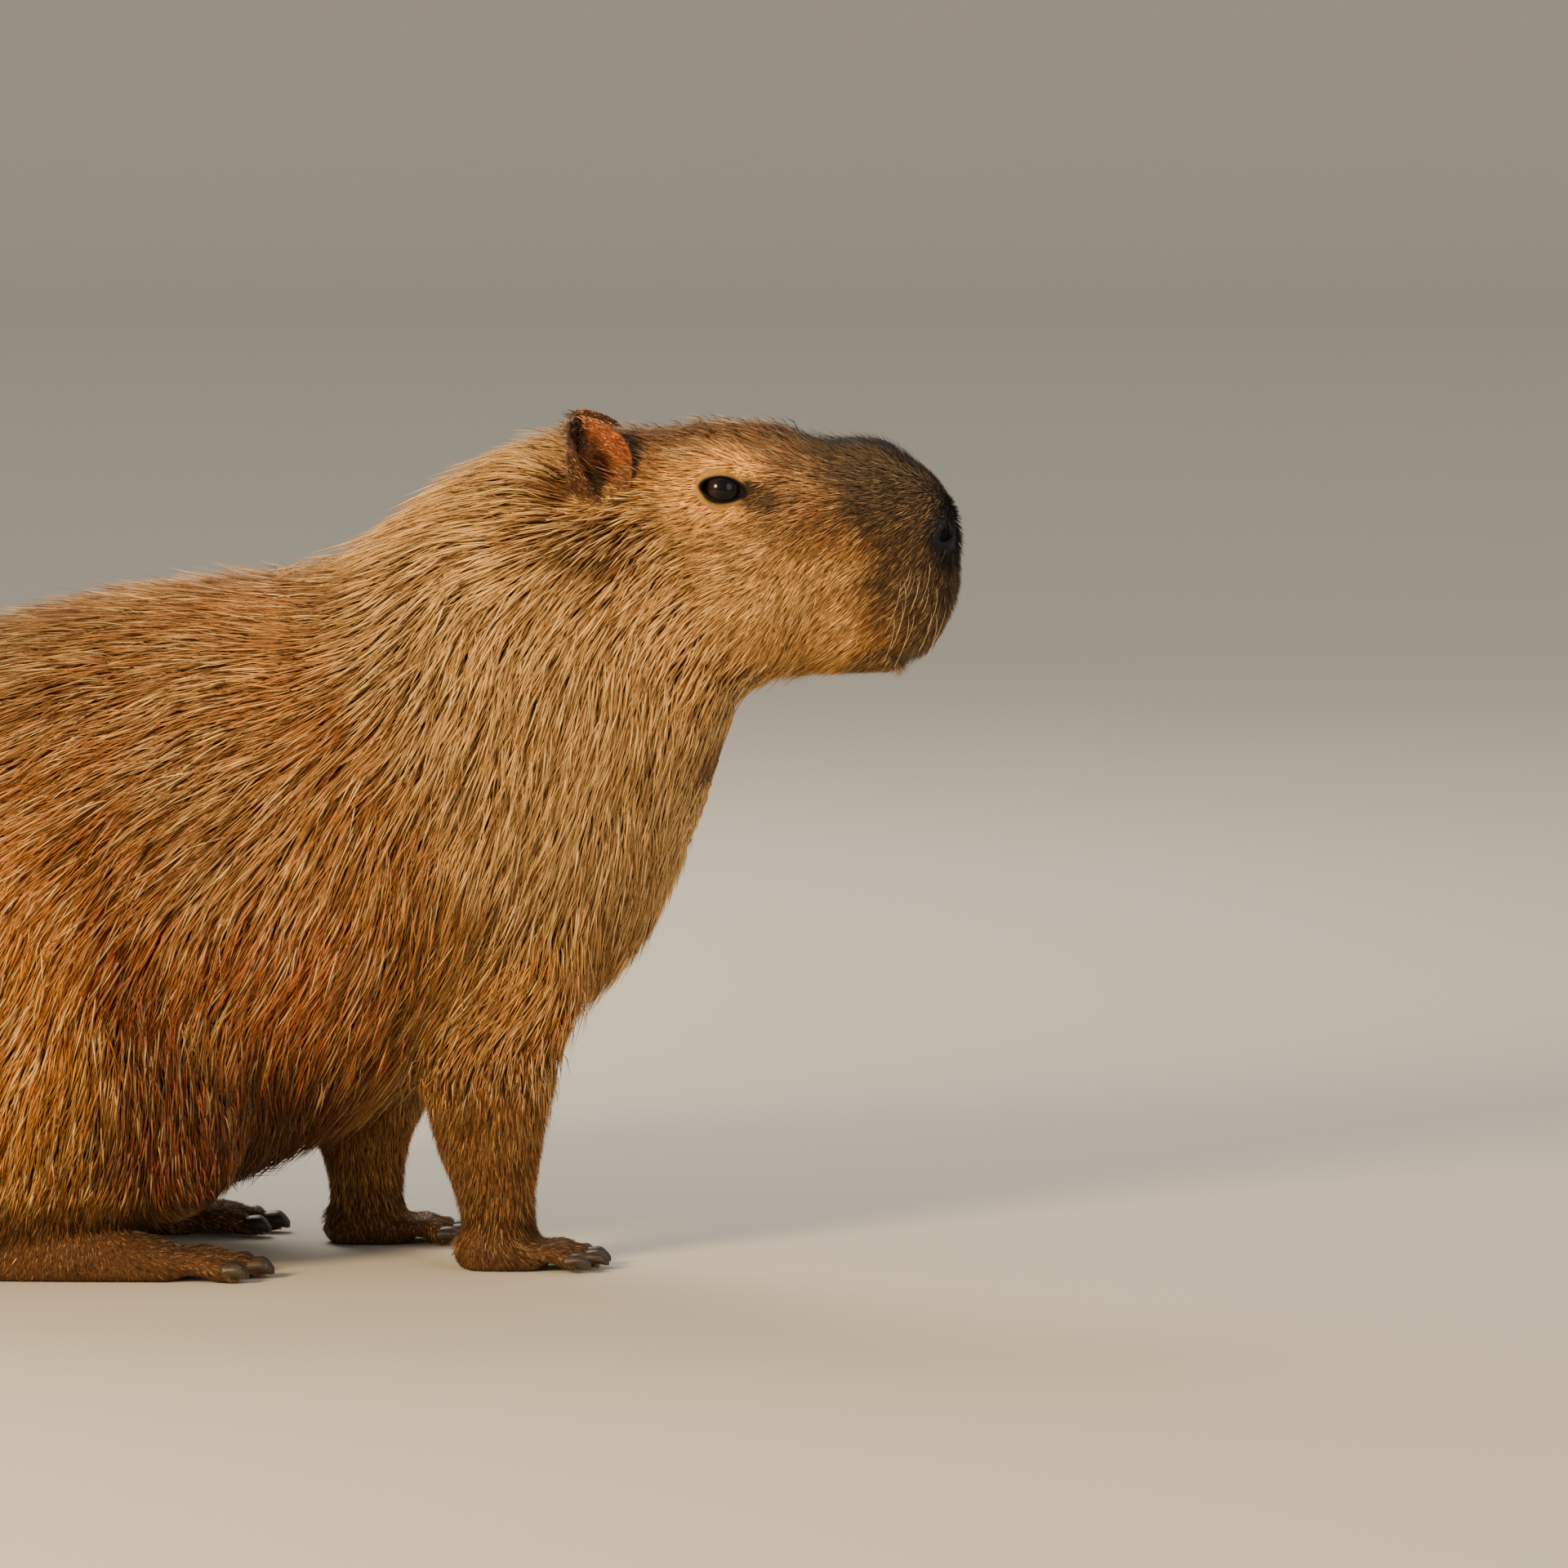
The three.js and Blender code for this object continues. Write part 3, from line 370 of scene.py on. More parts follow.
# Nostrils, mouth and eye sockets, which are hollowed out of the head.
def hollowed(field, x, y, z):
    side = np.abs(y)
    ball = np.sqrt((x - EYE_X) ** 2 + (side - EYE_Y) ** 2 + (z - EYE_Z) ** 2)
    field = smooth_max(field, EYE_R + 0.8 - ball, 1.5)
    slant = math.radians(-40)
    across, up = x - 442, z - 500
    along = across * math.cos(slant) - up * math.sin(slant)
    over = across * math.sin(slant) + up * math.cos(slant)
    nostril = ellipsoid_field(along, side - 29, over, (0, 0, 0), (10.5, 9, 4.6))
    field = smooth_max(field, -nostril, 2)
    middle = (MOUTH_UPPER(x) + MOUTH_LOWER(x)) / 2
    gap = np.maximum((MOUTH_UPPER(x) - MOUTH_LOWER(x)) / 2, 0.6)
    slot = np.sqrt(np.maximum(np.abs(z - middle) - gap, 0) ** 2 + np.maximum(380 - x, 0) ** 2) - 0.4
    field = smooth_max(field, -np.maximum(slot, -4), 2.5)
    cleft = np.sqrt((x - 448) ** 2 + y**2) - 1.6
    return smooth_max(field, -np.where(np.abs(z - 452) < 30, cleft, 9), 2)


# The lids' mound round each eye.
def orbit(x, y, z):
    return ellipsoid_field(x, np.abs(y), z, (EYE_X, EYE_Y - 3.5, EYE_Z - 1), (24, 12.5, 17))


def trunk_skin(x, y, z):
    return smooth_min(plain_trunk(x, y, z) + trunk_depth(x, z), orbit(x, y, z), 8)


def skin_field(x, y, z):
    field = trunk_skin(x, y, z)
    for form, depth, blend, _ in FORMS:
        field = smooth_min(field, form(x, y, z) + depth(x, z), blend)
    return hollowed(field, x, y, z)


def outline_field(x, y, z):
    field = plain_trunk(x, y, z)
    for form, _, blend, _ in FORMS:
        field = smooth_min(field, form(x, y, z), blend)
    return field


# The skin's field on a grid of places, each form worked out only in its own box.
def skin_on_grid(xs, ys, zs):
    x, y, z = xs[:, None, None], ys[None, :, None], zs[None, None, :]
    field = trunk_skin(x, y, z)
    for form, depth, blend, box in FORMS:
        cut = tuple(
            slice(np.searchsorted(axis, box[2 * i]), np.searchsorted(axis, box[2 * i + 1]))
            for i, axis in enumerate((xs, ys, zs))
        )
        part = xs[cut[0]][:, None, None], ys[cut[1]][None, :, None], zs[cut[2]][None, None, :]
        field[cut] = smooth_min(field[cut], form(*part) + depth(part[0], part[2]), blend)
    front = slice(np.searchsorted(xs, 255), len(xs))
    field[front] = hollowed(field[front], x[front], y, z)
    return np.maximum(field, 0.6 - z)


def spaced(*stretches):
    places = [np.arange(start, end, step) for start, end, step in stretches]
    return np.concatenate([*places, [stretches[-1][1]]]).astype(np.float32)


# A closed mesh of four-sided faces over the zero level of a field on a grid.
def surface_net(xs, ys, zs, field):
    inside = field < 0
    corners = [(i, j, k) for i in (0, 1) for j in (0, 1) for k in (0, 1)]
    sizes = [n - 1 for n in field.shape]

    def at(values, corner):
        return values[tuple(slice(c, c + n) for c, n in zip(corner, sizes))]

    count = sum(at(inside, corner).astype(np.int8) for corner in corners)
    cells = np.argwhere((count > 0) & (count < 8))
    number = np.full(sizes, -1, dtype=np.int32)
    number[tuple(cells.T)] = np.arange(len(cells))
    total, crossings = np.zeros((len(cells), 3)), np.zeros(len(cells))
    for a in corners:
        for axis in range(3):
            if a[axis]:
                continue
            b = tuple(1 if i == axis else v for i, v in enumerate(a))
            va, vb = field[tuple((cells + a).T)], field[tuple((cells + b).T)]
            cross = (va < 0) != (vb < 0)
            t = np.where(cross, va / np.where(cross, va - vb, 1), 0)
            place = cells + a + t[:, None] * (np.array(b) - a)
            total += place * cross[:, None]
            crossings += cross
    places = total / crossings[:, None]
    points = [np.interp(places[:, i], np.arange(len(axis)), axis) for i, axis in enumerate((xs, ys, zs))]
    faces = []
    for axis in range(3):
        u, v = (axis + 1) % 3, (axis + 2) % 3
        low = inside[tuple(slice(0, -1) if i == axis else slice(None) for i in range(3))]
        high = inside[tuple(slice(1, None) if i == axis else slice(None) for i in range(3))]
        edges = np.argwhere(low != high)
        edges = edges[(edges[:, u] > 0) & (edges[:, v] > 0)]
        edges = edges[(edges[:, u] < sizes[u]) & (edges[:, v] < sizes[v])]
        back_u, back_v = np.eye(3, dtype=int)[u], np.eye(3, dtype=int)[v]
        around = [edges, edges - back_u, edges - back_u - back_v, edges - back_v]
        quads = np.stack([number[tuple(cell.T)] for cell in around], axis=1)
        flip = ~low[tuple(edges.T)]
        quads[flip] = quads[flip][:, ::-1]
        faces.append(quads)
    return np.stack(points, axis=1), np.concatenate(faces)


# Soft random values from -1 to 1 over space, one every spacing millimetres.
def noise(points, spacing, seed):
    lattice = np.random.default_rng(seed).uniform(-1, 1, (32, 32, 32))
    place = points / spacing + 500
    base = np.floor(place).astype(int)
    t = place - base
    t = t * t * (3 - 2 * t)
    value = 0
    for corner in ((i, j, k) for i in (0, 1) for j in (0, 1) for k in (0, 1)):
        weight = np.prod(np.where(np.array(corner) == 1, t, 1 - t), axis=1)
        value = value + weight * lattice[tuple(((base + corner) % 32).T)]
    return value


# One colour from its sRGB hex code, in linear light.
def colour(code):
    values = [int(code[i : i + 2], 16) / 255 for i in (1, 3, 5)]
    return [v / 12.92 if v <= 0.04045 else ((v + 0.055) / 1.055) ** 2.4 for v in values]


# The animal's markings and painted shade seen from the side: name, centre, radii, turn in degrees, strength,
# colour.
COAT_BROWN = "#8f6a3a"
MARKINGS_AND_SHADE = (
    ("back", (-160, 450), (330, 70), -8, 0.9, "#6f5433"),
    ("flank", (-60, 300), (170, 130), 20, 0.85, "#98602f"),
    ("behind the shoulder", (-20, 330), (60, 100), 25, 0.6, "#8f7047"),
    ("low flank", (20, 210), (80, 80), 20, 0.7, "#93502a"),
    ("shoulder", (60, 330), (80, 120), 15, 0.5, "#ab7843"),
    ("haunch", (-230, 190), (130, 130), 0, 0.9, "#b87c36"),
    ("belly", (-40, 110), (120, 60), 10, 0.9, "#63351a"),
    ("thigh's edge", (-92, 170), (34, 120), 14, 0.85, "#6b3316"),
    ("neck", (190, 380), (95, 190), 28, 0.95, "#c9a46c"),
    ("throat", (262, 300), (30, 80), 25, 0.4, "#a8814e"),
    # painted shade: a dark band for the shadow in the throat's fold under the jaw
    ("throat's fold", (300, 375), (34, 12), 42, 0.75, "#4f2c16"),
    ("chest", (190, 210), (60, 50), 30, 0.6, "#a9743c"),
    ("foreleg", (130, 90), (70, 90), 0, 0.9, "#a07344"),
    ("wrist and foot", (120, 15), (120, 40), 0, 0.8, "#6d4a2b"),
    ("hind foot", (-130, 15), (150, 40), 0, 0.8, "#6d4a2b"),
    ("nape", (140, 540), (60, 40), 20, 0.7, "#a88652"),
    ("cheek", (300, 445), (90, 60), -10, 0.95, "#c69f66"),
    ("jaw", (350, 415), (70, 25), 0, 0.8, "#c09455"),
    # painted shade on the cheek below the eye
    ("cheek's shade", (290, 490), (50, 24), 0, 0.55, "#8d6c3f"),
    ("temple", (250, 520), (45, 30), 0, 0.6, "#9a7848"),
    ("crown", (285, 574), (90, 30), 0, 0.93, "#4e311d"),
    ("bridge", (352, 530), (66, 34), -12, 0.9, "#694a2f"),
    ("snout top", (395, 552), (66, 30), -18, 0.95, "#30261f"),
    ("snout side", (420, 523), (56, 38), -35, 0.95, "#2f2520"),
    ("muzzle", (431, 472), (42, 56), 0, 0.93, "#43342a"),
    ("lip", (440, 430), (24, 26), 0, 0.7, "#65523d"),
    ("nose pad", (444, 499), (15, 22), 10, 1.0, "#151418"),
    ("chin", (404, 410), (26, 14), 0, 0.8, "#55422f"),
    ("below the ear", (212, 497), (30, 18), 0, 0.75, "#644526"),
    ("behind the eye", (262, 540), (26, 16), 15, 0.5, "#84562c"),
    ("eye's ring", (289, 532), (33, 23), 0, 0.95, "#dcac62"),
    ("eye's front corner", (317, 527), (20, 10), -12, 0.95, "#46352a"),
    ("eye's rim", (288, 530), (14, 9.2), 8, 1.0, "#1a120d"),
)


# The bare scent gland on top of the snout, from 0 to 1.
def on_gland(points):
    x, y, z = points.T
    return smooth_step(1.1, 0.8, np.hypot((x - 375) / 42, y / 21)) * smooth_step(540, 552, z)


# Colour of coat and skin at places on the animal: markings, with painted shade in the throat's fold, on the
# cheek and in the ear's canal.
def marked_with_shade(points):
    x, y, z = points.T
    tint = np.tile(colour(COAT_BROWN), (len(points), 1))
    rough = 0.16 * noise(points, 26, 3) + 0.12 * noise(points, 9, 4)

    def painted(share, code):
        tint[:] += share[:, None] * (np.array(colour(code)) - tint)

    for _, (cx, cz), (rx, rz), turn, strength, code in MARKINGS_AND_SHADE:
        c, s = math.cos(math.radians(turn)), math.sin(math.radians(turn))
        along, over = (x - cx) * c + (z - cz) * s, (z - cz) * c - (x - cx) * s
        ragged, outer, inner = (0.4, 1.15, 0.85) if min(rx, rz) < 20 else (1, 1.35, 0.55)
        edge = np.hypot(along / rx, over / rz) + ragged * rough
        painted(strength * smooth_step(outer, inner, edge), code)
    painted(on_gland(points), "#24242a")
    t, radius, r, turn = ear_place(x, -np.abs(y), z)
    on_ear = smooth_step(518, 530, z) * (np.abs(r - radius) < 5) * (np.abs(y) > 40) * (x < 240)
    inner = on_ear * smooth_step(0.4, -0.4, r - radius) * (turn < 2.6)
    painted(on_ear, "#5b3c24")
    painted(inner, "#b0683e")
    # Darker rear of the inside of the ear, and painted shade low in the ear's hollow for its canal
    ear_rear_and_canal_shade = inner * smooth_step(200, 190, x) + 0.7 * inner * smooth_step(536, 520, z)
    painted(np.clip(ear_rear_and_canal_shade, 0, 1), "#4a3122")
    return tint


def into_frame(points):
    return (np.asarray(points, dtype=float) + [SHIFT_X, 0, 0]) * MM


# A plain mesh object at the origin from arrays in the drawing's millimetres.
def mesh_object(name, points, faces, material, attributes=None, edges=None):
    mesh = bpy.data.meshes.new(name)
    mesh.vertices.add(len(points))
    mesh.vertices.foreach_set("co", into_frame(points).astype(np.float32).ravel())
    faces = [np.asarray(block) for block in faces if len(block)]
    if faces:
        lengths = np.concatenate([np.full(len(block), block.shape[1]) for block in faces])
        mesh.loops.add(int(lengths.sum()))
        corners = np.concatenate([block.ravel() for block in faces])
        mesh.loops.foreach_set("vertex_index", corners.astype(np.int32))
        mesh.polygons.add(len(lengths))
        mesh.polygons.foreach_set("loop_start", (np.cumsum(lengths) - lengths).astype(np.int32))
        mesh.polygons.foreach_set("use_smooth", np.ones(len(lengths), dtype=bool))
    if edges is not None:
        mesh.edges.add(len(edges))
        mesh.edges.foreach_set("vertices", np.asarray(edges, dtype=np.int32).ravel())
    mesh.update(calc_edges=bool(faces))
    for label, values in (attributes or {}).items():
        if values.ndim == 2:
            values = np.concatenate([values, np.ones((len(values), 1))], axis=1)
            layer = mesh.attributes.new(label, "FLOAT_COLOR", "POINT")
            layer.data.foreach_set("color", values.astype(np.float32).ravel())
        else:
            layer = mesh.attributes.new(label, "FLOAT", "POINT")
            layer.data.foreach_set("value", values.astype(np.float32))
    if material:
        mesh.materials.append(material)
    made = bpy.data.objects.new(name, mesh)
    bpy.context.scene.collection.objects.link(made)
    return made


def own_map(made, uv_at_points):
    mesh = made.data
    index = np.empty(len(mesh.loops), dtype=np.int32)
    mesh.loops.foreach_get("vertex_index", index)
    layer = mesh.uv_layers.new(name="OFBake")
    layer.data.foreach_set("uv", uv_at_points[index].astype(np.float32).ravel())


# Adds one node with its settings, its fixed inputs and its links.
def add_node(tree, kind, settings=None, inputs=None):
    node = tree.nodes.new(kind)
    for key, value in (settings or {}).items():
        setattr(node, key, value)
    for key, value in (inputs or {}).items():
        if isinstance(value, bpy.types.NodeSocket):
            tree.links.new(value, node.inputs[key])
        else:
            node.inputs[key].default_value = value
    return node


def new_material(name, **shader):
    material = bpy.data.materials.new(name)
    material.use_nodes = True
    tree = material.node_tree
    tree.nodes.clear()
    surface = add_node(tree, "ShaderNodeBsdfPrincipled", inputs=shader)
    add_node(tree, "ShaderNodeOutputMaterial", inputs={"Surface": surface.outputs[0]})
    return material, tree, surface


def named_value(tree, name, output="Color"):
    return add_node(tree, "ShaderNodeAttribute", {"attribute_name": name}).outputs[output]


def ramp(tree, factor, *stops):
    node = add_node(tree, "ShaderNodeValToRGB", inputs={"Fac": factor})
    elements = node.color_ramp.elements
    while len(elements) < len(stops):
        elements.new(0.5)
    for element, (place, value) in zip(elements, stops):
        element.position = place
        element.color = (value, value, value, 1) if isinstance(value, float) else (*colour(value), 1)
    return node.outputs["Color"]


def multiplied(tree, a, b):
    settings = {"data_type": "RGBA", "blend_type": "MULTIPLY"}
    return add_node(tree, "ShaderNodeMix", settings, {0: 1.0, 6: a, 7: b}).outputs[2]


# Bump from noise whose grains are size_mm across in each direction of the object.
def grain_bump(tree, surface, size_mm, height_mm, strength=1.0):
    place = add_node(tree, "ShaderNodeTexCoord").outputs["Object"]
    scales = [1 / (size * MM) for size in size_mm]
    scaled = add_node(tree, "ShaderNodeMapping", inputs={"Vector": place, "Scale": scales})
    grain = add_node(
        tree, "ShaderNodeTexNoise", inputs={"Vector": scaled.outputs[0], "Scale": 1.0, "Detail": 3.0}
    )
    bump = add_node(
        tree, "ShaderNodeBump",
        inputs={"Strength": strength, "Distance": height_mm * MM, "Height": grain.outputs["Fac"]},
    )
    tree.links.new(bump.outputs[0], surface.inputs["Normal"])
    return grain.outputs["Fac"]


# The hide of the animal with its finest hair, which shows between the tufts.
def hide_material():
    material, tree, surface = new_material("hide_with_down", Roughness=0.7, **{"Specular IOR Level": 0.2})
    grain = grain_bump(tree, surface, (3.2, 1.2, 1.6), 0.7, 0.8)
    shade = ramp(tree, grain, (0.3, 0.55), (0.65, 1.1))
    tree.links.new(multiplied(tree, named_value(tree, "tint"), shade), surface.inputs["Base Color"])
    return material


# Coarse, slightly glossy guard hairs.
def hair_material(name, roughness):
    material, tree, surface = new_material(name, Roughness=roughness, **{"Specular IOR Level": 0.4})
    tree.links.new(named_value(tree, "tint"), surface.inputs["Base Color"])
    return material


# The wet dark ball of the eye: black pupil, dark brown iris, clear and glossy cornea.
def eye_material():
    cornea = {"Specular IOR Level": 0.05, "Coat Weight": 0.8, "Coat Roughness": 0.02, "Coat IOR": 1.34}
    material, tree, surface = new_material("eye_ball", Roughness=0.4, **cornea)
    pupil, iris = ((0.0, "#020202"), (0.42, "#030202")), ((0.5, "#1d0f07"), (0.8, "#140a05"), (0.95, "#050403"))
    rings = ramp(tree, named_value(tree, "spread", "Fac"), *pupil, *iris)
    tree.links.new(rings, surface.inputs["Base Color"])
    return material


# Bare dark skin of the lids.
def lid_material():
    material, tree, surface = new_material("lid_skin", Roughness=0.6, **{"Specular IOR Level": 0.12})
    shade = ramp(tree, grain_bump(tree, surface, (1.2, 1.2, 0.8), 0.35), (0.3, 0.7), (0.7, 1.1))
    tree.links.new(multiplied(tree, named_value(tree, "tint"), shade), surface.inputs["Base Color"])
    return material


# Grey-brown horn of the claws with streaks along them.
def horn_material():
    material, tree, surface = new_material("claw_horn", Roughness=0.42, **{"Specular IOR Level": 0.4})
    grain = grain_bump(tree, surface, (9.0, 1.0, 2.0), 0.3)
    tree.links.new(ramp(tree, grain, (0.3, "#1d1713"), (0.7, "#4d4036")), surface.inputs["Base Color"])
    return material


# Long stiff bristles of the muzzle, pale and slightly glossy.
def whisker_material():
    material, tree, surface = new_material("whisker_bristle", Roughness=0.35, **{"Specular IOR Level": 0.5})
    surface.inputs["Base Color"].default_value = (*colour("#c9b890"), 1)
    return material


# Pale painted floor and backdrop of the studio.
def studio_material():
    material, tree, surface = new_material("studio_paint", Roughness=0.85)
    surface.inputs["Base Color"].default_value = (*colour("#cfc8bb"), 1)
    return material


FLESH = ["head", "neck", "torso", "tail"] + [
    part + "_" + side for part in ("ear", "haunch", "foreleg", "forefoot", "hindfoot") for side in SIDES
]


def build_skin():
    xs = spaced((-466, -110, 5), (-110, 205, 3.2), (205, 462, 2.0))
    ys = spaced((-188, -92, 4), (-92, 92, 2.0), (92, 188, 4))
    zs = spaced((-3, 60, 2.6), (60, 385, 5), (385, 596, 2.0))
    points, quads = surface_net(xs, ys, zs, skin_on_grid(xs, ys, zs))
    on_nose = np.hypot((points[:, 0] - 444) / 13, (points[:, 2] - 499) / 17) < 1
    bare = np.maximum(on_gland(points), on_nose)[:, None]
    under = marked_with_shade(points) * 0.45 * [1, 0.85, 0.75]
    bare_tint = np.array(colour("#202127")) * (0.75 + 0.5 * noise(points, 5, 9))[:, None]
    tint = under * (1 - bare) + bare * bare_tint
    skin = mesh_object("skin", points, [quads], hide_material(), {"tint": tint})
    bpy.context.view_layer.objects.active = skin
    skin.select_set(True)
    bpy.ops.object.mode_set(mode="EDIT")
    bpy.ops.mesh.select_all(action="SELECT")
    bpy.ops.uv.smart_project(angle_limit=math.radians(66), island_margin=0.002)
    bpy.ops.object.mode_set(mode="OBJECT")
    skin.select_set(False)
    skin.data.uv_layers[0].name = "OFBake"
    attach(skin, "root")
    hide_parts(*FLESH)


# The lie of the coat: at a place seen from the side, its angle from forwards towards up.
LIE = (
    (130, 530, 200), (230, 400, 258), (130, 430, 245), (250, 270, 272), (120, 300, 250),
    (150, 200, 235), (20, 470, 190), (-100, 460, 183), (-250, 410, 195), (-60, 380, 215),
    (0, 250, 240), (-200, 330, 225), (-200, 200, 245), (-60, 150, 275), (-420, 200, 265),
    (370, 555, 178), (290, 560, 182), (290, 515, 195), (340, 450, 232), (370, 410, 215),
    (230, 480, 235), (130, 110, 255), (130, 60, 262), (-150, 70, 255), (430, 470, 235),
    (440, 520, 200), (400, 430, 222), (210, 545, 150), (180, 10, 330), (-60, 10, 330),
)


def lie_at(points):
    places = np.array([(x, z) for x, z, _ in LIE], dtype=float)
    angles = np.radians([angle for _, _, angle in LIE])
    apart = (points[:, None, 0] - places[:, 0]) ** 2 + (points[:, None, 2] - places[:, 1]) ** 2
    weights = 1 / (250 + apart) ** 1.5
    lie = np.zeros_like(points)
    lie[:, 0], lie[:, 2] = weights @ np.cos(angles), weights @ np.sin(angles)
    face = smooth_step(425, 448, points[:, 0])
    lie /= np.linalg.norm(lie, axis=1)[:, None]
    lie[:, 1] += 0.5 * face * np.sign(points[:, 1])
    return lie


# Arrays of the skin's own mesh, in the drawing's millimetres.
def skin_arrays():
    mesh = bpy.data.objects["skin"].data
    points, normals = np.empty(3 * len(mesh.vertices)), np.empty(3 * len(mesh.vertices))
    mesh.vertices.foreach_get("co", points)
    mesh.vertex_normals.foreach_get("vector", normals)
    corners, uv = np.empty(len(mesh.loops), dtype=np.int32), np.empty(2 * len(mesh.loops))
    mesh.loops.foreach_get("vertex_index", corners)
    mesh.uv_layers["OFBake"].data.foreach_get("uv", uv)
    points = points.reshape(-1, 3) / MM - [SHIFT_X, 0, 0]
    return points, normals.reshape(-1, 3), corners.reshape(-1, 4), uv.reshape(-1, 4, 2)


# Roots scattered evenly over the skin, more of them where density is higher.
def scatter(density_at, seed):
    points, normals, quads, uv = skin_arrays()
    centre = points[quads].mean(axis=1)
    one, two = points[quads[:, 2]] - points[quads[:, 0]], points[quads[:, 3]] - points[quads[:, 1]]
    area = np.linalg.norm(np.cross(one, two), axis=1) / 2
    facing = normals[quads].mean(axis=1)
    share = np.cumsum(area * density_at(centre, facing))
    random = np.random.default_rng(seed)
    count = int(share[-1])
    picks = (np.arange(count) + random.random(count)) / count * share[-1]
    face = np.searchsorted(share, picks)
    face = np.minimum(face, len(quads) - 1)
    s, t = random.random((2, count))
    weights = np.stack([(1 - s) * (1 - t), s * (1 - t), s * t, (1 - s) * t], axis=1)[:, :, None]
    roots = (points[quads[face]] * weights).sum(axis=1)
    normal = (normals[quads[face]] * weights).sum(axis=1)
    normal /= np.linalg.norm(normal, axis=1)[:, None]
    return roots, normal, (uv[face] * weights).sum(axis=1), random


# Bare places: eye, nostril, nose pad, gland, mouth, and soles.
def hairy(points, facing):
    x, y, z = points.T
    side = np.abs(y)
    eye = np.hypot((x - EYE_X) / 16, (z - EYE_Z) / 10)
    ball = np.sqrt((x - EYE_X) ** 2 + (side - EYE_Y) ** 2 + (z - EYE_Z) ** 2)
    eye_bare = ((eye < 1) & (side > 35)) | (ball < EYE_R + np.where(x > EYE_X + 8, 4, 2.5))
    nostril = np.hypot((x - 442) / 11, (z - 498) / 10) < 1 + 0.45 * noise(points, 5, 11)
    gland = (np.hypot((x - 375) / 40, y / 19) < 1) & (z > 545)
    mouth = (x > 385) & (np.abs(z - (MOUTH_UPPER(x) + MOUTH_LOWER(x)) / 2) < 3) & (facing[:, 2] < 0.2)
    sole = (z < 4) | ((z < 25) & (facing[:, 2] < -0.5))
    return ~(eye_bare | (nostril & (side > 8)) | mouth | sole), gland


def coat_depth(points):
    x, y, z = points.T
    most = np.where(neck_front(x, z) > 0, 1.15 * trunk_depth(x, z), 24)
    return np.clip(-outline_field(x, y, z), 0.7, most)


BEND_AT = 0.42  # share of its length at which a hair bends
LONG_RINGS = ((0.0, 0.8), (BEND_AT, 1.0))  # place along the hair and share of its width
SHORT_RINGS = ((0.0, 1.0),)
STRAY_BY = 14  # how far a stray hair may stand out of the coat
PATCH = 0.003  # how far a hair's map reaches round its root's place on the skin's map


# Every root's own lie, sideways direction, depth, length, width and colour.
def styled(roots, normal, random, width_mm, contrast, seed):
    depth = coat_depth(roots)
    count = len(roots)
    lie = lie_at(roots)
    lie -= (lie * normal).sum(axis=1)[:, None] * normal
    lie /= np.maximum(np.linalg.norm(lie, axis=1), 1e-6)[:, None]
    sideways = np.cross(normal, lie)
    wander = 0.22 * noise(roots, 36, seed) + 0.14 * noise(roots, 10, seed + 1)
    wander += 0.13 * random.normal(size=count)
    lie, sideways = (
        lie * np.cos(wander)[:, None] + sideways * np.sin(wander)[:, None],
        sideways * np.cos(wander)[:, None] - lie * np.sin(wander)[:, None],
    )
    length = (3.5 + 2.1 * depth) * random.uniform(0.75, 1.2, count)
    lift = 0.85 + 0.25 * noise(roots, 14, seed + 2) + 0.18 * random.normal(size=count)
    stray = (random.random(count) < 0.09) * random.uniform(0.2, 0.85, count)
    lift = np.minimum((np.clip(lift, 0.3, 1.15) + stray) * depth, depth + STRAY_BY)
    width = width_mm * random.uniform(0.7, 1.3, count)
    uneven = contrast * random.normal(size=count) + 0.18 * noise(roots, 60, seed + 4)
    tint = marked_with_shade(roots) * np.exp(uneven)[:, None]
    near = np.array(colour("#f3d596")) * np.clip(tint.sum(axis=1) / 0.5, 0.16, 1.0)[:, None]
    pale = random.random(count) + 0.25 * noise(roots, 12, seed + 3)
    tint += (0.65 * smooth_step(0.56, 0.98, pale))[:, None] * (near - tint)
    dark = random.random(count) < 0.2
    tint[dark] *= [0.42, 0.34, 0.3]
    middle = rise_to_fit(roots, normal, lie * (BEND_AT * length)[:, None], 0.68 * lift, depth)
    tip = rise_to_fit(roots, normal, lie * length[:, None], lift, depth)
    beyond = outline_field(*(roots + lie * length[:, None] + normal * tip[:, None]).T)
    shrunk = np.clip(9 / np.maximum(beyond, 1), 0.2, 1)
    length, middle, tip = length * shrunk, middle * shrunk, tip * shrunk
    return lie, sideways, middle, tip, length, width, tint


# How far a point of a hair rises from its root, so that it follows the coat's curved outline.
def rise_to_fit(roots, normal, ahead, lift, depth):
    place = roots + ahead + normal * lift[:, None]
    for _ in range(2):
        off = (lift - depth) - outline_field(*place.T)
        place = place + normal * np.clip(0.8 * off, -8, 8)[:, None]
    return np.minimum(((place - roots) * normal).sum(axis=1), depth + STRAY_BY)


# A hair is dark and reddish at the root and palest at the tip; the dark root is partly the hair's own colour
# and partly painted shade deep in the coat.
def shade_along(along):
    root, middle, tip = np.array([0.4, 0.22, 0.13]), np.array([0.88, 0.82, 0.74]), np.array([1.55, 1.55, 1.5])
    t = along[:, None]
    low, high = root + (middle - root) * t / BEND_AT, middle + (tip - middle) * (t - BEND_AT) / (1 - BEND_AT)
    return np.where(t < BEND_AT, low, high)


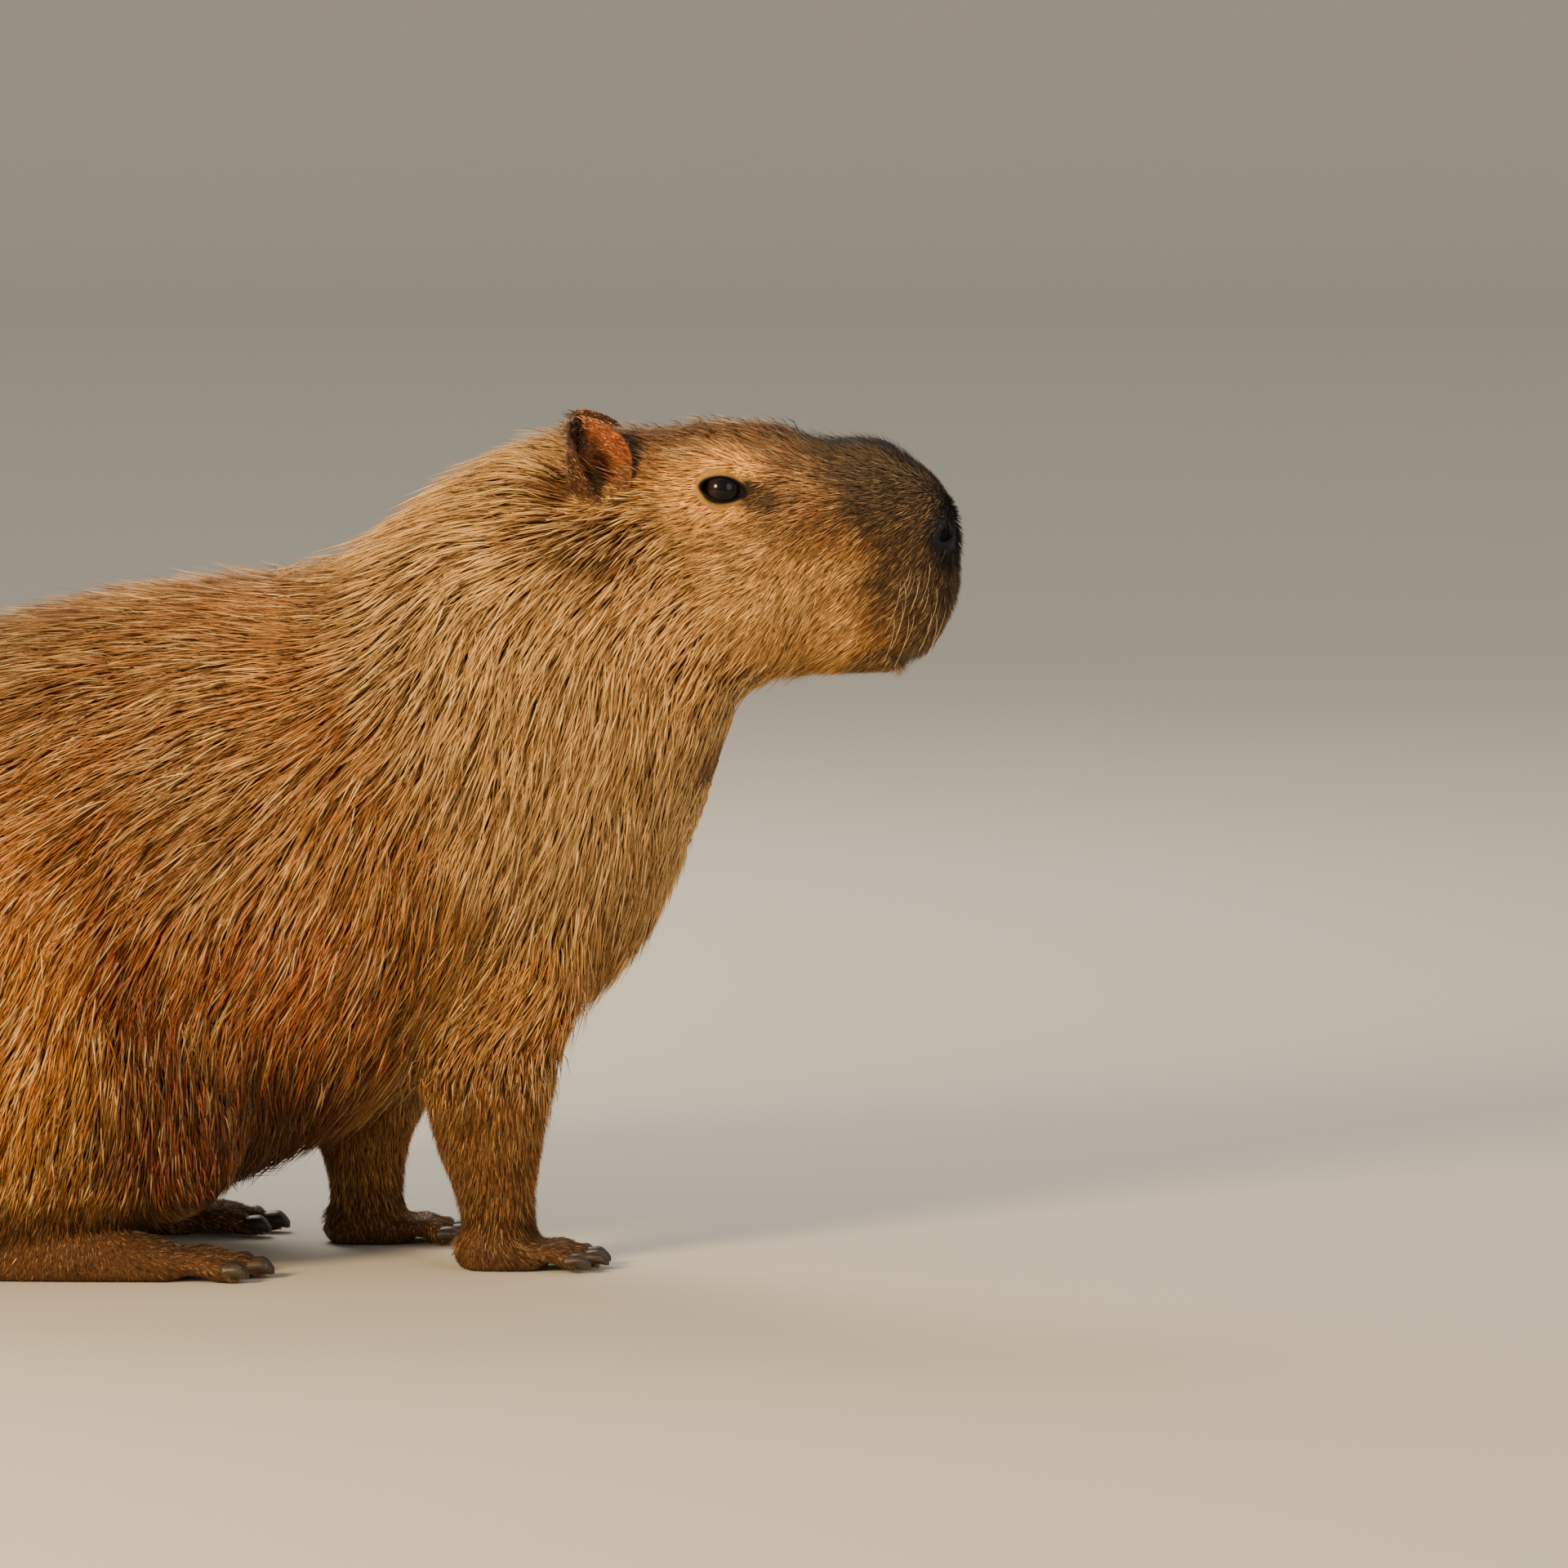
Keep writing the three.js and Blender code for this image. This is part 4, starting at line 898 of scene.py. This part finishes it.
# Hairs in rings of three points along each one, with the tip in one point.
def hairs(roots, normal, uv, style, rings):
    lie, sideways, middle_rise, tip_rise, length, width, tint = style
    count, steps = len(roots), len(rings)
    points = np.empty((count, 3 * steps + 1, 3))
    along = np.empty(3 * steps + 1)
    across = np.zeros(3 * steps + 1)
    for i, (t, wide) in enumerate(rings):
        rise = middle_rise if i else np.full(count, -1.2)
        middle = roots + lie * (t * length)[:, None] + normal * rise[:, None]
        for j, (a, b) in enumerate(((-0.5, 0), (0.5, 0), (0, 0.45))):
            size = (wide * width)[:, None]
            points[:, 3 * i + j] = middle + sideways * a * size + normal * b * size
            along[3 * i + j], across[3 * i + j] = t, a
    points[:, -1] = roots + lie * length[:, None] + normal * tip_rise[:, None]
    along[-1] = 1
    points[:, :, 2] = np.maximum(points[:, :, 2], 0.4)
    walls = ((0, 1), (1, 2), (2, 0))
    quads = [(i + a, i + b, i + 3 + b, i + 3 + a) for i in range(0, 3 * steps - 3, 3) for a, b in walls]
    last, tip = 3 * steps - 3, 3 * steps
    tris = [(last + a, last + b, tip) for a, b in walls]
    starts = np.arange(count)[:, None, None] * (3 * steps + 1)
    patch = uv[:, None, :] + np.stack([across, along - 0.5], axis=1)[None] * PATCH
    return {
        "points": points.reshape(-1, 3),
        "quads": (np.array(quads, dtype=int).reshape(1, -1, 4) + starts).reshape(-1, 4),
        "tris": (np.array(tris)[None] + starts).reshape(-1, 3),
        "uv": np.clip(patch.reshape(-1, 2), 0.0005, 0.9995),
        "tint": (tint[:, None, :] * shade_along(along)[None]).reshape(-1, 3),
    }


def coat_piece(name, material, made):
    piece = mesh_object(name, made["points"], [made["quads"], made["tris"]], material, {"tint": made["tint"]})
    own_map(piece, made["uv"])
    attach(piece, "root")


def regions_of(roots):
    x, y, z = roots.T
    side = np.where(y < 0, "right", "left")
    head = neck_front(x, z) > 0
    neck = ~head & (x + 0.4 * (z - 300) > 120) & (z > 200)
    high = z > 330
    part = np.select([head, neck, high, x < -120], ["head", "neck", "back", "haunch"], "flank")
    return np.char.add(np.char.add(part, "_"), side)


LONG_PER_MM2, SHORT_PER_MM2 = 0.135, 0.6  # roots where the coat is fullest
MOST_TRIANGLES = 190000  # in one piece of the coat


def build_coat(density, width_mm, seed):
    def long_density(points, facing):
        keep, _ = hairy(points, facing)
        depth = coat_depth(points)
        under = 1 - 0.6 * smooth_step(-0.5, -0.95, facing[:, 2])
        return keep * smooth_step(6.5, 9.5, depth) * under * LONG_PER_MM2 * density

    def short_density(points, facing):
        keep, gland = hairy(points, facing)
        depth = coat_depth(points)
        bare = np.where(gland, 0.12, 1.0)
        on_head = np.where(points[:, 0] > 200, 1.0, 0.75)
        return keep * smooth_step(9.5, 6.5, depth) * bare * on_head * SHORT_PER_MM2 * density

    kinds = (
        ("long", long_density, LONG_RINGS, width_mm, 0.28, 0.45),
        ("short", short_density, SHORT_RINGS, 0.74 * width_mm, 0.6, 0.5),
    )
    for number, (kind, density_at, rings, wide, contrast, roughness) in enumerate(kinds):
        roots, normal, uv, random = scatter(density_at, seed + number)
        style = styled(roots, normal, random, wide, contrast, seed + 10 * number)
        region = regions_of(roots)
        material = hair_material("coat_" + kind, roughness)
        most = MOST_TRIANGLES // (6 * len(rings) - 3)
        for label in sorted(set(region)):
            chosen = np.flatnonzero(region == label)
            blocks = int(math.ceil(len(chosen) / most))
            for block in range(blocks):
                pick = chosen[block::blocks]
                made = hairs(roots[pick], normal[pick], uv[pick], [value[pick] for value in style], rings)
                coat_piece(f"coat_{kind}_{label}_{block + 1}", material, made)


# Rings of points joined into one open tube.
def ring_faces(rings, sides):
    quads = []
    for i in range(rings - 1):
        for j in range(sides):
            k = (j + 1) % sides
            quads.append((i * sides + j, i * sides + k, (i + 1) * sides + k, (i + 1) * sides + j))
    return np.array(quads)


# The same tube with a flat face over each end.
def closed_faces(rings, sides, inside_out):
    last = (rings - 1) * sides
    blocks = [ring_faces(rings, sides), np.arange(sides)[None, ::-1], last + np.arange(sides)[None]]
    return [block[:, ::-1] for block in blocks] if inside_out else blocks


def build_eyes():
    material = eye_material()
    lid = lid_material()
    for label, side in SIDES.items():
        rings, sides = 26, 48
        polar = np.linspace(0.02, math.pi - 0.02, rings)[:, None]
        turn = np.linspace(0, 2 * math.pi, sides, endpoint=False)[None, :]
        u, v = EYE_R * np.sin(polar) * np.cos(turn), EYE_R * np.sin(polar) * np.sin(turn)
        w = EYE_R * np.cos(polar) + 0 * turn
        x = EYE_X + u * math.cos(EYE_LEAN) + w * math.sin(EYE_LEAN)
        out = EYE_Y + w * math.cos(EYE_LEAN) - u * math.sin(EYE_LEAN)
        points = np.stack([x, out * side, EYE_Z + v], axis=2).reshape(-1, 3)
        spread = np.clip(np.repeat(polar, sides, axis=1).ravel() / 1.3, 0, 1)
        faces = closed_faces(rings, sides, inside_out=side == RIGHT)
        ball = mesh_object("eye_ball_" + label, points, faces, material, {"spread": spread})
        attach(ball, "root")
        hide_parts("eye_" + label)
        build_lids(label, side, lid)


# The rim of both lids round one eye: an almond opening that lies on the ball.
def build_lids(label, side, material):
    steps, sides = 18, 96
    turn = np.linspace(0, 2 * math.pi, sides, endpoint=False)[None, :]
    share = np.concatenate([[0], np.linspace(0, 1, steps - 1)])[:, None]
    corner = np.abs(np.cos(turn)) ** 3
    opening_x = 12 * (1 + 0.13 * corner) * np.cos(turn)
    opening_z = np.where(np.sin(turn) > 0, 8.2, 7.2) * np.sin(turn) * (1 - 0.12 * corner)
    x = opening_x + (22 * np.cos(turn) - opening_x) * share
    z = opening_z + (15.5 * np.sin(turn) - opening_z) * share
    tilt = math.radians(-9)
    x, z = x * math.cos(tilt) - z * math.sin(tilt), x * math.sin(tilt) + z * math.cos(tilt)
    on_ball = EYE_Y + np.sqrt(np.maximum((EYE_R + 0.3) ** 2 - x**2 - z**2, 0))
    place_x, place_z = EYE_X + x, EYE_Z + z
    mound = outward_reach(trunk_skin, place_x.ravel(), place_z.ravel()).reshape(x.shape)
    margin = 1.5 * smooth_step(0, 0.14, share) * (1 - 0.85 * smooth_step(0.25, 0.75, share))
    crease = 0.5 * smooth_step(0.3, 0.38, share) * smooth_step(0.5, 0.4, share) * (np.sin(turn) > 0)
    sink = 1.8 * smooth_step(0.8, 1, share)
    out = smooth_max(on_ball, mound + 0.3, 2) + margin - crease - sink
    out[0] -= 2.0
    points = np.stack([place_x, out * side, place_z], axis=2).reshape(-1, 3)
    faces = ring_faces(steps, sides)
    faces = faces if side == LEFT else faces[:, ::-1]
    dark = smooth_step(1, 0.4, share / (0.3 + 0.25 * corner)).ravel()[:, None]
    tint = 0.55 * marked_with_shade(points) * (1 - dark) + np.array(colour("#0d0907")) * dark
    lids = mesh_object("lids_" + label, points, [faces], material, {"tint": tint})
    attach(lids, "root")


# One claw: a blunt curved nail, flat underneath, from knuckle to tip.
def claw_rings(spec, toe, place, side):
    side_of_toe, reach = toe
    end, thick = spec["length"] + reach, spec["toe"]
    line = profile((0, 8), (11, 8.5), (19, 5))
    wide = profile((0, 0.72), (11, 0.8), (16, 0.62), (19, 0.3))
    rings, sides = 10, 14
    turn = np.linspace(0, 2 * math.pi, sides, endpoint=False)
    points = []
    for s in np.linspace(0, 19, rings):
        radius = wide(s) * thick
        x = np.full(sides, end - 6 + s)
        y = side_of_toe * (1.33 + 0.07 * s / 19) + radius * np.cos(turn)
        z = line(s) + 0.8 * radius * np.where(np.sin(turn) < 0, 0.75, 1) * np.sin(turn)
        points.append(np.stack([x + place[0], y + place[1], np.maximum(z, 0.3)], axis=1))
    points = np.concatenate(points) * [1, -side, 1]
    return points, closed_faces(rings, sides, inside_out=side == LEFT)


def build_claws():
    material = horn_material()
    hind_places = {RIGHT: HINDFOOT_PLACE, LEFT: HINDFOOT_PLACE}
    for name, spec, places in (("fore", FOREFOOT, FOREFOOT_PLACE), ("hind", HINDFOOT, hind_places)):
        for label, side in SIDES.items():
            for number, toe in enumerate(spec["toes"], start=1):
                points, faces = claw_rings(spec, toe, places[side], side)
                piece = mesh_object(f"nail_{name}_{label}_{number}", points, faces, material)
                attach(piece, "root")
                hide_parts(f"claw_{name}_{label}_{number}")


# Sweeps a round profile along whisker lines, thinner towards each tip.
def whisker_tree(material):
    tree = bpy.data.node_groups.new("Whisker Sweep", "GeometryNodeTree")
    tree.interface.new_socket("Geometry", in_out="INPUT", socket_type="NodeSocketGeometry")
    size = tree.interface.new_socket("Whisker Radius", in_out="INPUT", socket_type="NodeSocketFloat")
    tree.interface.new_socket("Geometry", in_out="OUTPUT", socket_type="NodeSocketGeometry")
    given = add_node(tree, "NodeGroupInput")
    taper = add_node(tree, "GeometryNodeInputNamedAttribute", {"data_type": "FLOAT"}, {"Name": "taper"})
    lines = add_node(tree, "GeometryNodeMeshToCurve", inputs={"Mesh": given.outputs[0]})
    sized = add_node(
        tree, "GeometryNodeSetCurveRadius",
        inputs={"Curve": lines.outputs[0], "Radius": taper.outputs["Attribute"]},
    )
    circle = add_node(
        tree, "GeometryNodeCurvePrimitiveCircle", inputs={"Resolution": 5, "Radius": given.outputs[1]}
    )
    swept = add_node(
        tree, "GeometryNodeCurveToMesh",
        inputs={"Curve": sized.outputs[0], "Profile Curve": circle.outputs["Curve"], "Fill Caps": True},
    )
    real = add_node(tree, "GeometryNodeRealizeInstances", inputs={"Geometry": swept.outputs[0]})
    painted = add_node(
        tree, "GeometryNodeSetMaterial", inputs={"Geometry": real.outputs[0], "Material": material}
    )
    add_node(tree, "NodeGroupOutput", inputs={0: painted.outputs[0]})
    return tree, size.identifier


# Lines of whiskers: on the muzzle they droop forwards and down, with a few over eye and cheek.
def whisker_lines(count, length_mm, random):
    starts, ways, lengths = [], [], []
    for _ in range(count):
        x, z = random.uniform(404, 442), random.uniform(436, 482)
        starts.append((x, z))
        ways.append((0.1 + 0.3 * random.random(), 0.8, -0.7 - 0.7 * random.random()))
        lengths.append(length_mm * random.uniform(0.45, 1.1))
    for x, z in ((262, 466), (268, 470), (276, 553), (281, 555), (287, 556)):
        starts.append((x, z))
        ways.append((-0.6, 0.5, 0.35 if z > 500 else -0.05))
        lengths.append(length_mm * random.uniform(0.5, 0.9))
    starts = np.array(starts)
    out = outward_reach(skin_field, starts[:, 0], starts[:, 1])
    return np.stack([starts[:, 0], out, starts[:, 1]], axis=1), np.array(ways), np.array(lengths)


def build_whiskers(count, length_mm, radius_mm, seed):
    material = whisker_material()
    random = np.random.default_rng(seed)
    points, edges, taper = [], [], []
    steps = 9
    for side in SIDES.values():
        starts, ways, lengths = whisker_lines(count, length_mm, random)
        for start, way, length in zip(starts, ways, lengths):
            t = np.linspace(0, 1, steps)[:, None]
            way = way / np.linalg.norm(way)
            line = start - 2 * way + way * t * length + np.array([-0.45, -0.15, -0.3]) * t**2 * length
            edges += [(len(taper) + i, len(taper) + i + 1) for i in range(steps - 1)]
            points += list(line * [1, side, 1])
            taper += list(1 - 0.85 * t[:, 0])
    guide = mesh_object("whisker_guide", np.array(points), [], None, {"taper": np.array(taper)}, edges)
    tree, radius_id = whisker_tree(material)
    modifier = guide.modifiers.new("Whiskers", "NODES")
    modifier.node_group = tree
    modifier[radius_id] = radius_mm * MM
    bpy.context.view_layer.update()
    evaluated = guide.evaluated_get(bpy.context.evaluated_depsgraph_get())
    mesh = bpy.data.meshes.new_from_object(evaluated)
    bpy.data.objects.remove(guide)
    whiskers = bpy.data.objects.new("whiskers", mesh)
    bpy.context.scene.collection.objects.link(whiskers)
    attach(whiskers, "root")


VIEW_WIDTH = 1.075  # metres across the picture at the animal
VIEW_CENTRE = (0.330, 0.0, 0.325)
VIEW_DISTANCE = 8.0
VIEW_ELEVATION = math.radians(5)


def add_light(name, place, size, watts, code):
    light = bpy.data.lights.new(name, "AREA")
    light.shape, light.size, light.energy, light.color = "DISK", size, watts, colour(code)
    lamp = bpy.data.objects.new(name, light)
    lamp.location = place
    aim = np.array([0.0, 0.0, 0.3]) - place
    tip_down = math.atan2(math.hypot(aim[0], aim[1]), -aim[2])
    lamp.rotation_euler = (tip_down, 0, math.atan2(aim[1], aim[0]) - math.pi / 2)
    bpy.context.scene.collection.objects.link(lamp)


def build_stage():
    material = studio_material()
    reach, depth, round_mm = 20000, 14000, 2500
    turn = np.linspace(0, math.pi / 2, 16)
    curve = [(-depth, 0.0)] + [(depth + round_mm * math.sin(a), round_mm * (1 - math.cos(a))) for a in turn]
    curve.append((depth + round_mm, 7000))
    points = np.array([(x, y, z) for x in (-reach, reach) for y, z in curve])
    steps = len(curve)
    faces = np.array([(i, i + steps, i + steps + 1, i + 1) for i in range(steps - 1)])
    mesh_object("studio_sweep", points, [faces], material)
    world = bpy.data.worlds.new("studio_air")
    world.use_nodes = True
    background = world.node_tree.nodes["Background"]
    background.inputs["Color"].default_value = (*colour("#f2efe8"), 1)
    background.inputs["Strength"].default_value = 0.6
    bpy.context.scene.world = world
    add_light("key", (-2.6, -3.4, 1.9), 1.3, 340, "#ffd9a0")
    add_light("fill", (3.2, -3.2, 1.6), 2.6, 45, "#fff0dc")
    add_light("back", (-1.0, 2.8, 2.6), 2.0, 90, "#fff4e4")
    camera = bpy.data.cameras.new("camera")
    camera.sensor_width = 36
    camera.lens = camera.sensor_width * VIEW_DISTANCE / VIEW_WIDTH
    view = bpy.data.objects.new("camera", camera)
    x, y, z = VIEW_CENTRE
    view.location = (
        x + SHIFT_X * MM,
        y - VIEW_DISTANCE * math.cos(VIEW_ELEVATION),
        z + VIEW_DISTANCE * math.sin(VIEW_ELEVATION),
    )
    view.rotation_euler = (math.pi / 2 - VIEW_ELEVATION, 0, 0)
    bpy.context.scene.collection.objects.link(view)
    bpy.context.scene.camera = view


def length_property(name, description, default_mm):
    return bpy.props.FloatProperty(
        name=name, description=description, default=default_mm * MM, min=0, precision=5, unit="LENGTH"
    )


class CapybaraCoat(bpy.types.PropertyGroup):
    density: bpy.props.FloatProperty(
        name="Density", description="Share of the coat's full number of hairs", default=1.0, min=0,
        subtype="FACTOR",
    )
    width: length_property("Hair Width", "Width of a long hair", 1.4)
    seed: bpy.props.IntProperty(name="Seed", description="Picks where the hairs stand", default=7)


class CapybaraWhiskers(bpy.types.PropertyGroup):
    count: bpy.props.IntProperty(name="Count", description="Muzzle whiskers on each side", default=18)
    length: length_property("Length", "Length of the longest whisker", 36.0)
    radius: length_property("Radius", "Radius of a whisker at its root", 0.11)
    seed: bpy.props.IntProperty(name="Seed", description="Picks where the whiskers stand", default=21)


class CAPYBARA_OT_skin(bpy.types.Operator):
    """Build the one skin that covers head, body, legs and ears."""

    bl_idname = "capybara.skin"
    bl_label = "Build Skin"

    def execute(self, context):
        build_skin()
        return {"FINISHED"}


class CAPYBARA_OT_coat(bpy.types.Operator):
    """Grow the long and short hairs over the skin."""

    bl_idname = "capybara.coat"
    bl_label = "Grow Coat"

    def execute(self, context):
        coat = context.scene.capybara_coat
        build_coat(coat.density, coat.width / MM, coat.seed)
        return {"FINISHED"}


class CAPYBARA_OT_eyes(bpy.types.Operator):
    """Build both eyes and their lids."""

    bl_idname = "capybara.eyes"
    bl_label = "Build Eyes"

    def execute(self, context):
        build_eyes()
        return {"FINISHED"}


class CAPYBARA_OT_claws(bpy.types.Operator):
    """Build the claws of all four feet."""

    bl_idname = "capybara.claws"
    bl_label = "Build Claws"

    def execute(self, context):
        build_claws()
        return {"FINISHED"}


class CAPYBARA_OT_whiskers(bpy.types.Operator):
    """Build the whiskers of muzzle, brow and cheek."""

    bl_idname = "capybara.whiskers"
    bl_label = "Build Whiskers"

    def execute(self, context):
        whiskers = context.scene.capybara_whiskers
        build_whiskers(whiskers.count, whiskers.length / MM, whiskers.radius / MM, whiskers.seed)
        return {"FINISHED"}


class CAPYBARA_OT_stage(bpy.types.Operator):
    """Set up floor, backdrop, lights and camera."""

    bl_idname = "capybara.stage"
    bl_label = "Set Up Stage"

    def execute(self, context):
        build_stage()
        return {"FINISHED"}


OPERATORS = (
    CAPYBARA_OT_skin, CAPYBARA_OT_coat, CAPYBARA_OT_eyes, CAPYBARA_OT_claws, CAPYBARA_OT_whiskers,
    CAPYBARA_OT_stage,
)


class CAPYBARA_PT_build(bpy.types.Panel):
    bl_label = "Capybara"
    bl_idname = "CAPYBARA_PT_build"
    bl_space_type = "VIEW_3D"
    bl_region_type = "UI"
    bl_category = "Capybara"

    def draw(self, context):
        for operator in OPERATORS:
            self.layout.operator(operator.bl_idname)


CLASSES = (CapybaraCoat, CapybaraWhiskers, *OPERATORS, CAPYBARA_PT_build)


def register():
    for item in CLASSES:
        bpy.utils.register_class(item)
    bpy.types.Scene.capybara_coat = bpy.props.PointerProperty(type=CapybaraCoat)
    bpy.types.Scene.capybara_whiskers = bpy.props.PointerProperty(type=CapybaraWhiskers)


def unregister():
    del bpy.types.Scene.capybara_whiskers
    del bpy.types.Scene.capybara_coat
    for item in reversed(CLASSES):
        bpy.utils.unregister_class(item)


def main():
    register()
    bpy.ops.capybara.skin()
    bpy.ops.capybara.coat()
    bpy.ops.capybara.eyes()
    bpy.ops.capybara.claws()
    bpy.ops.capybara.whiskers()
    bpy.ops.capybara.stage()


if __name__ == "__main__":
    main()
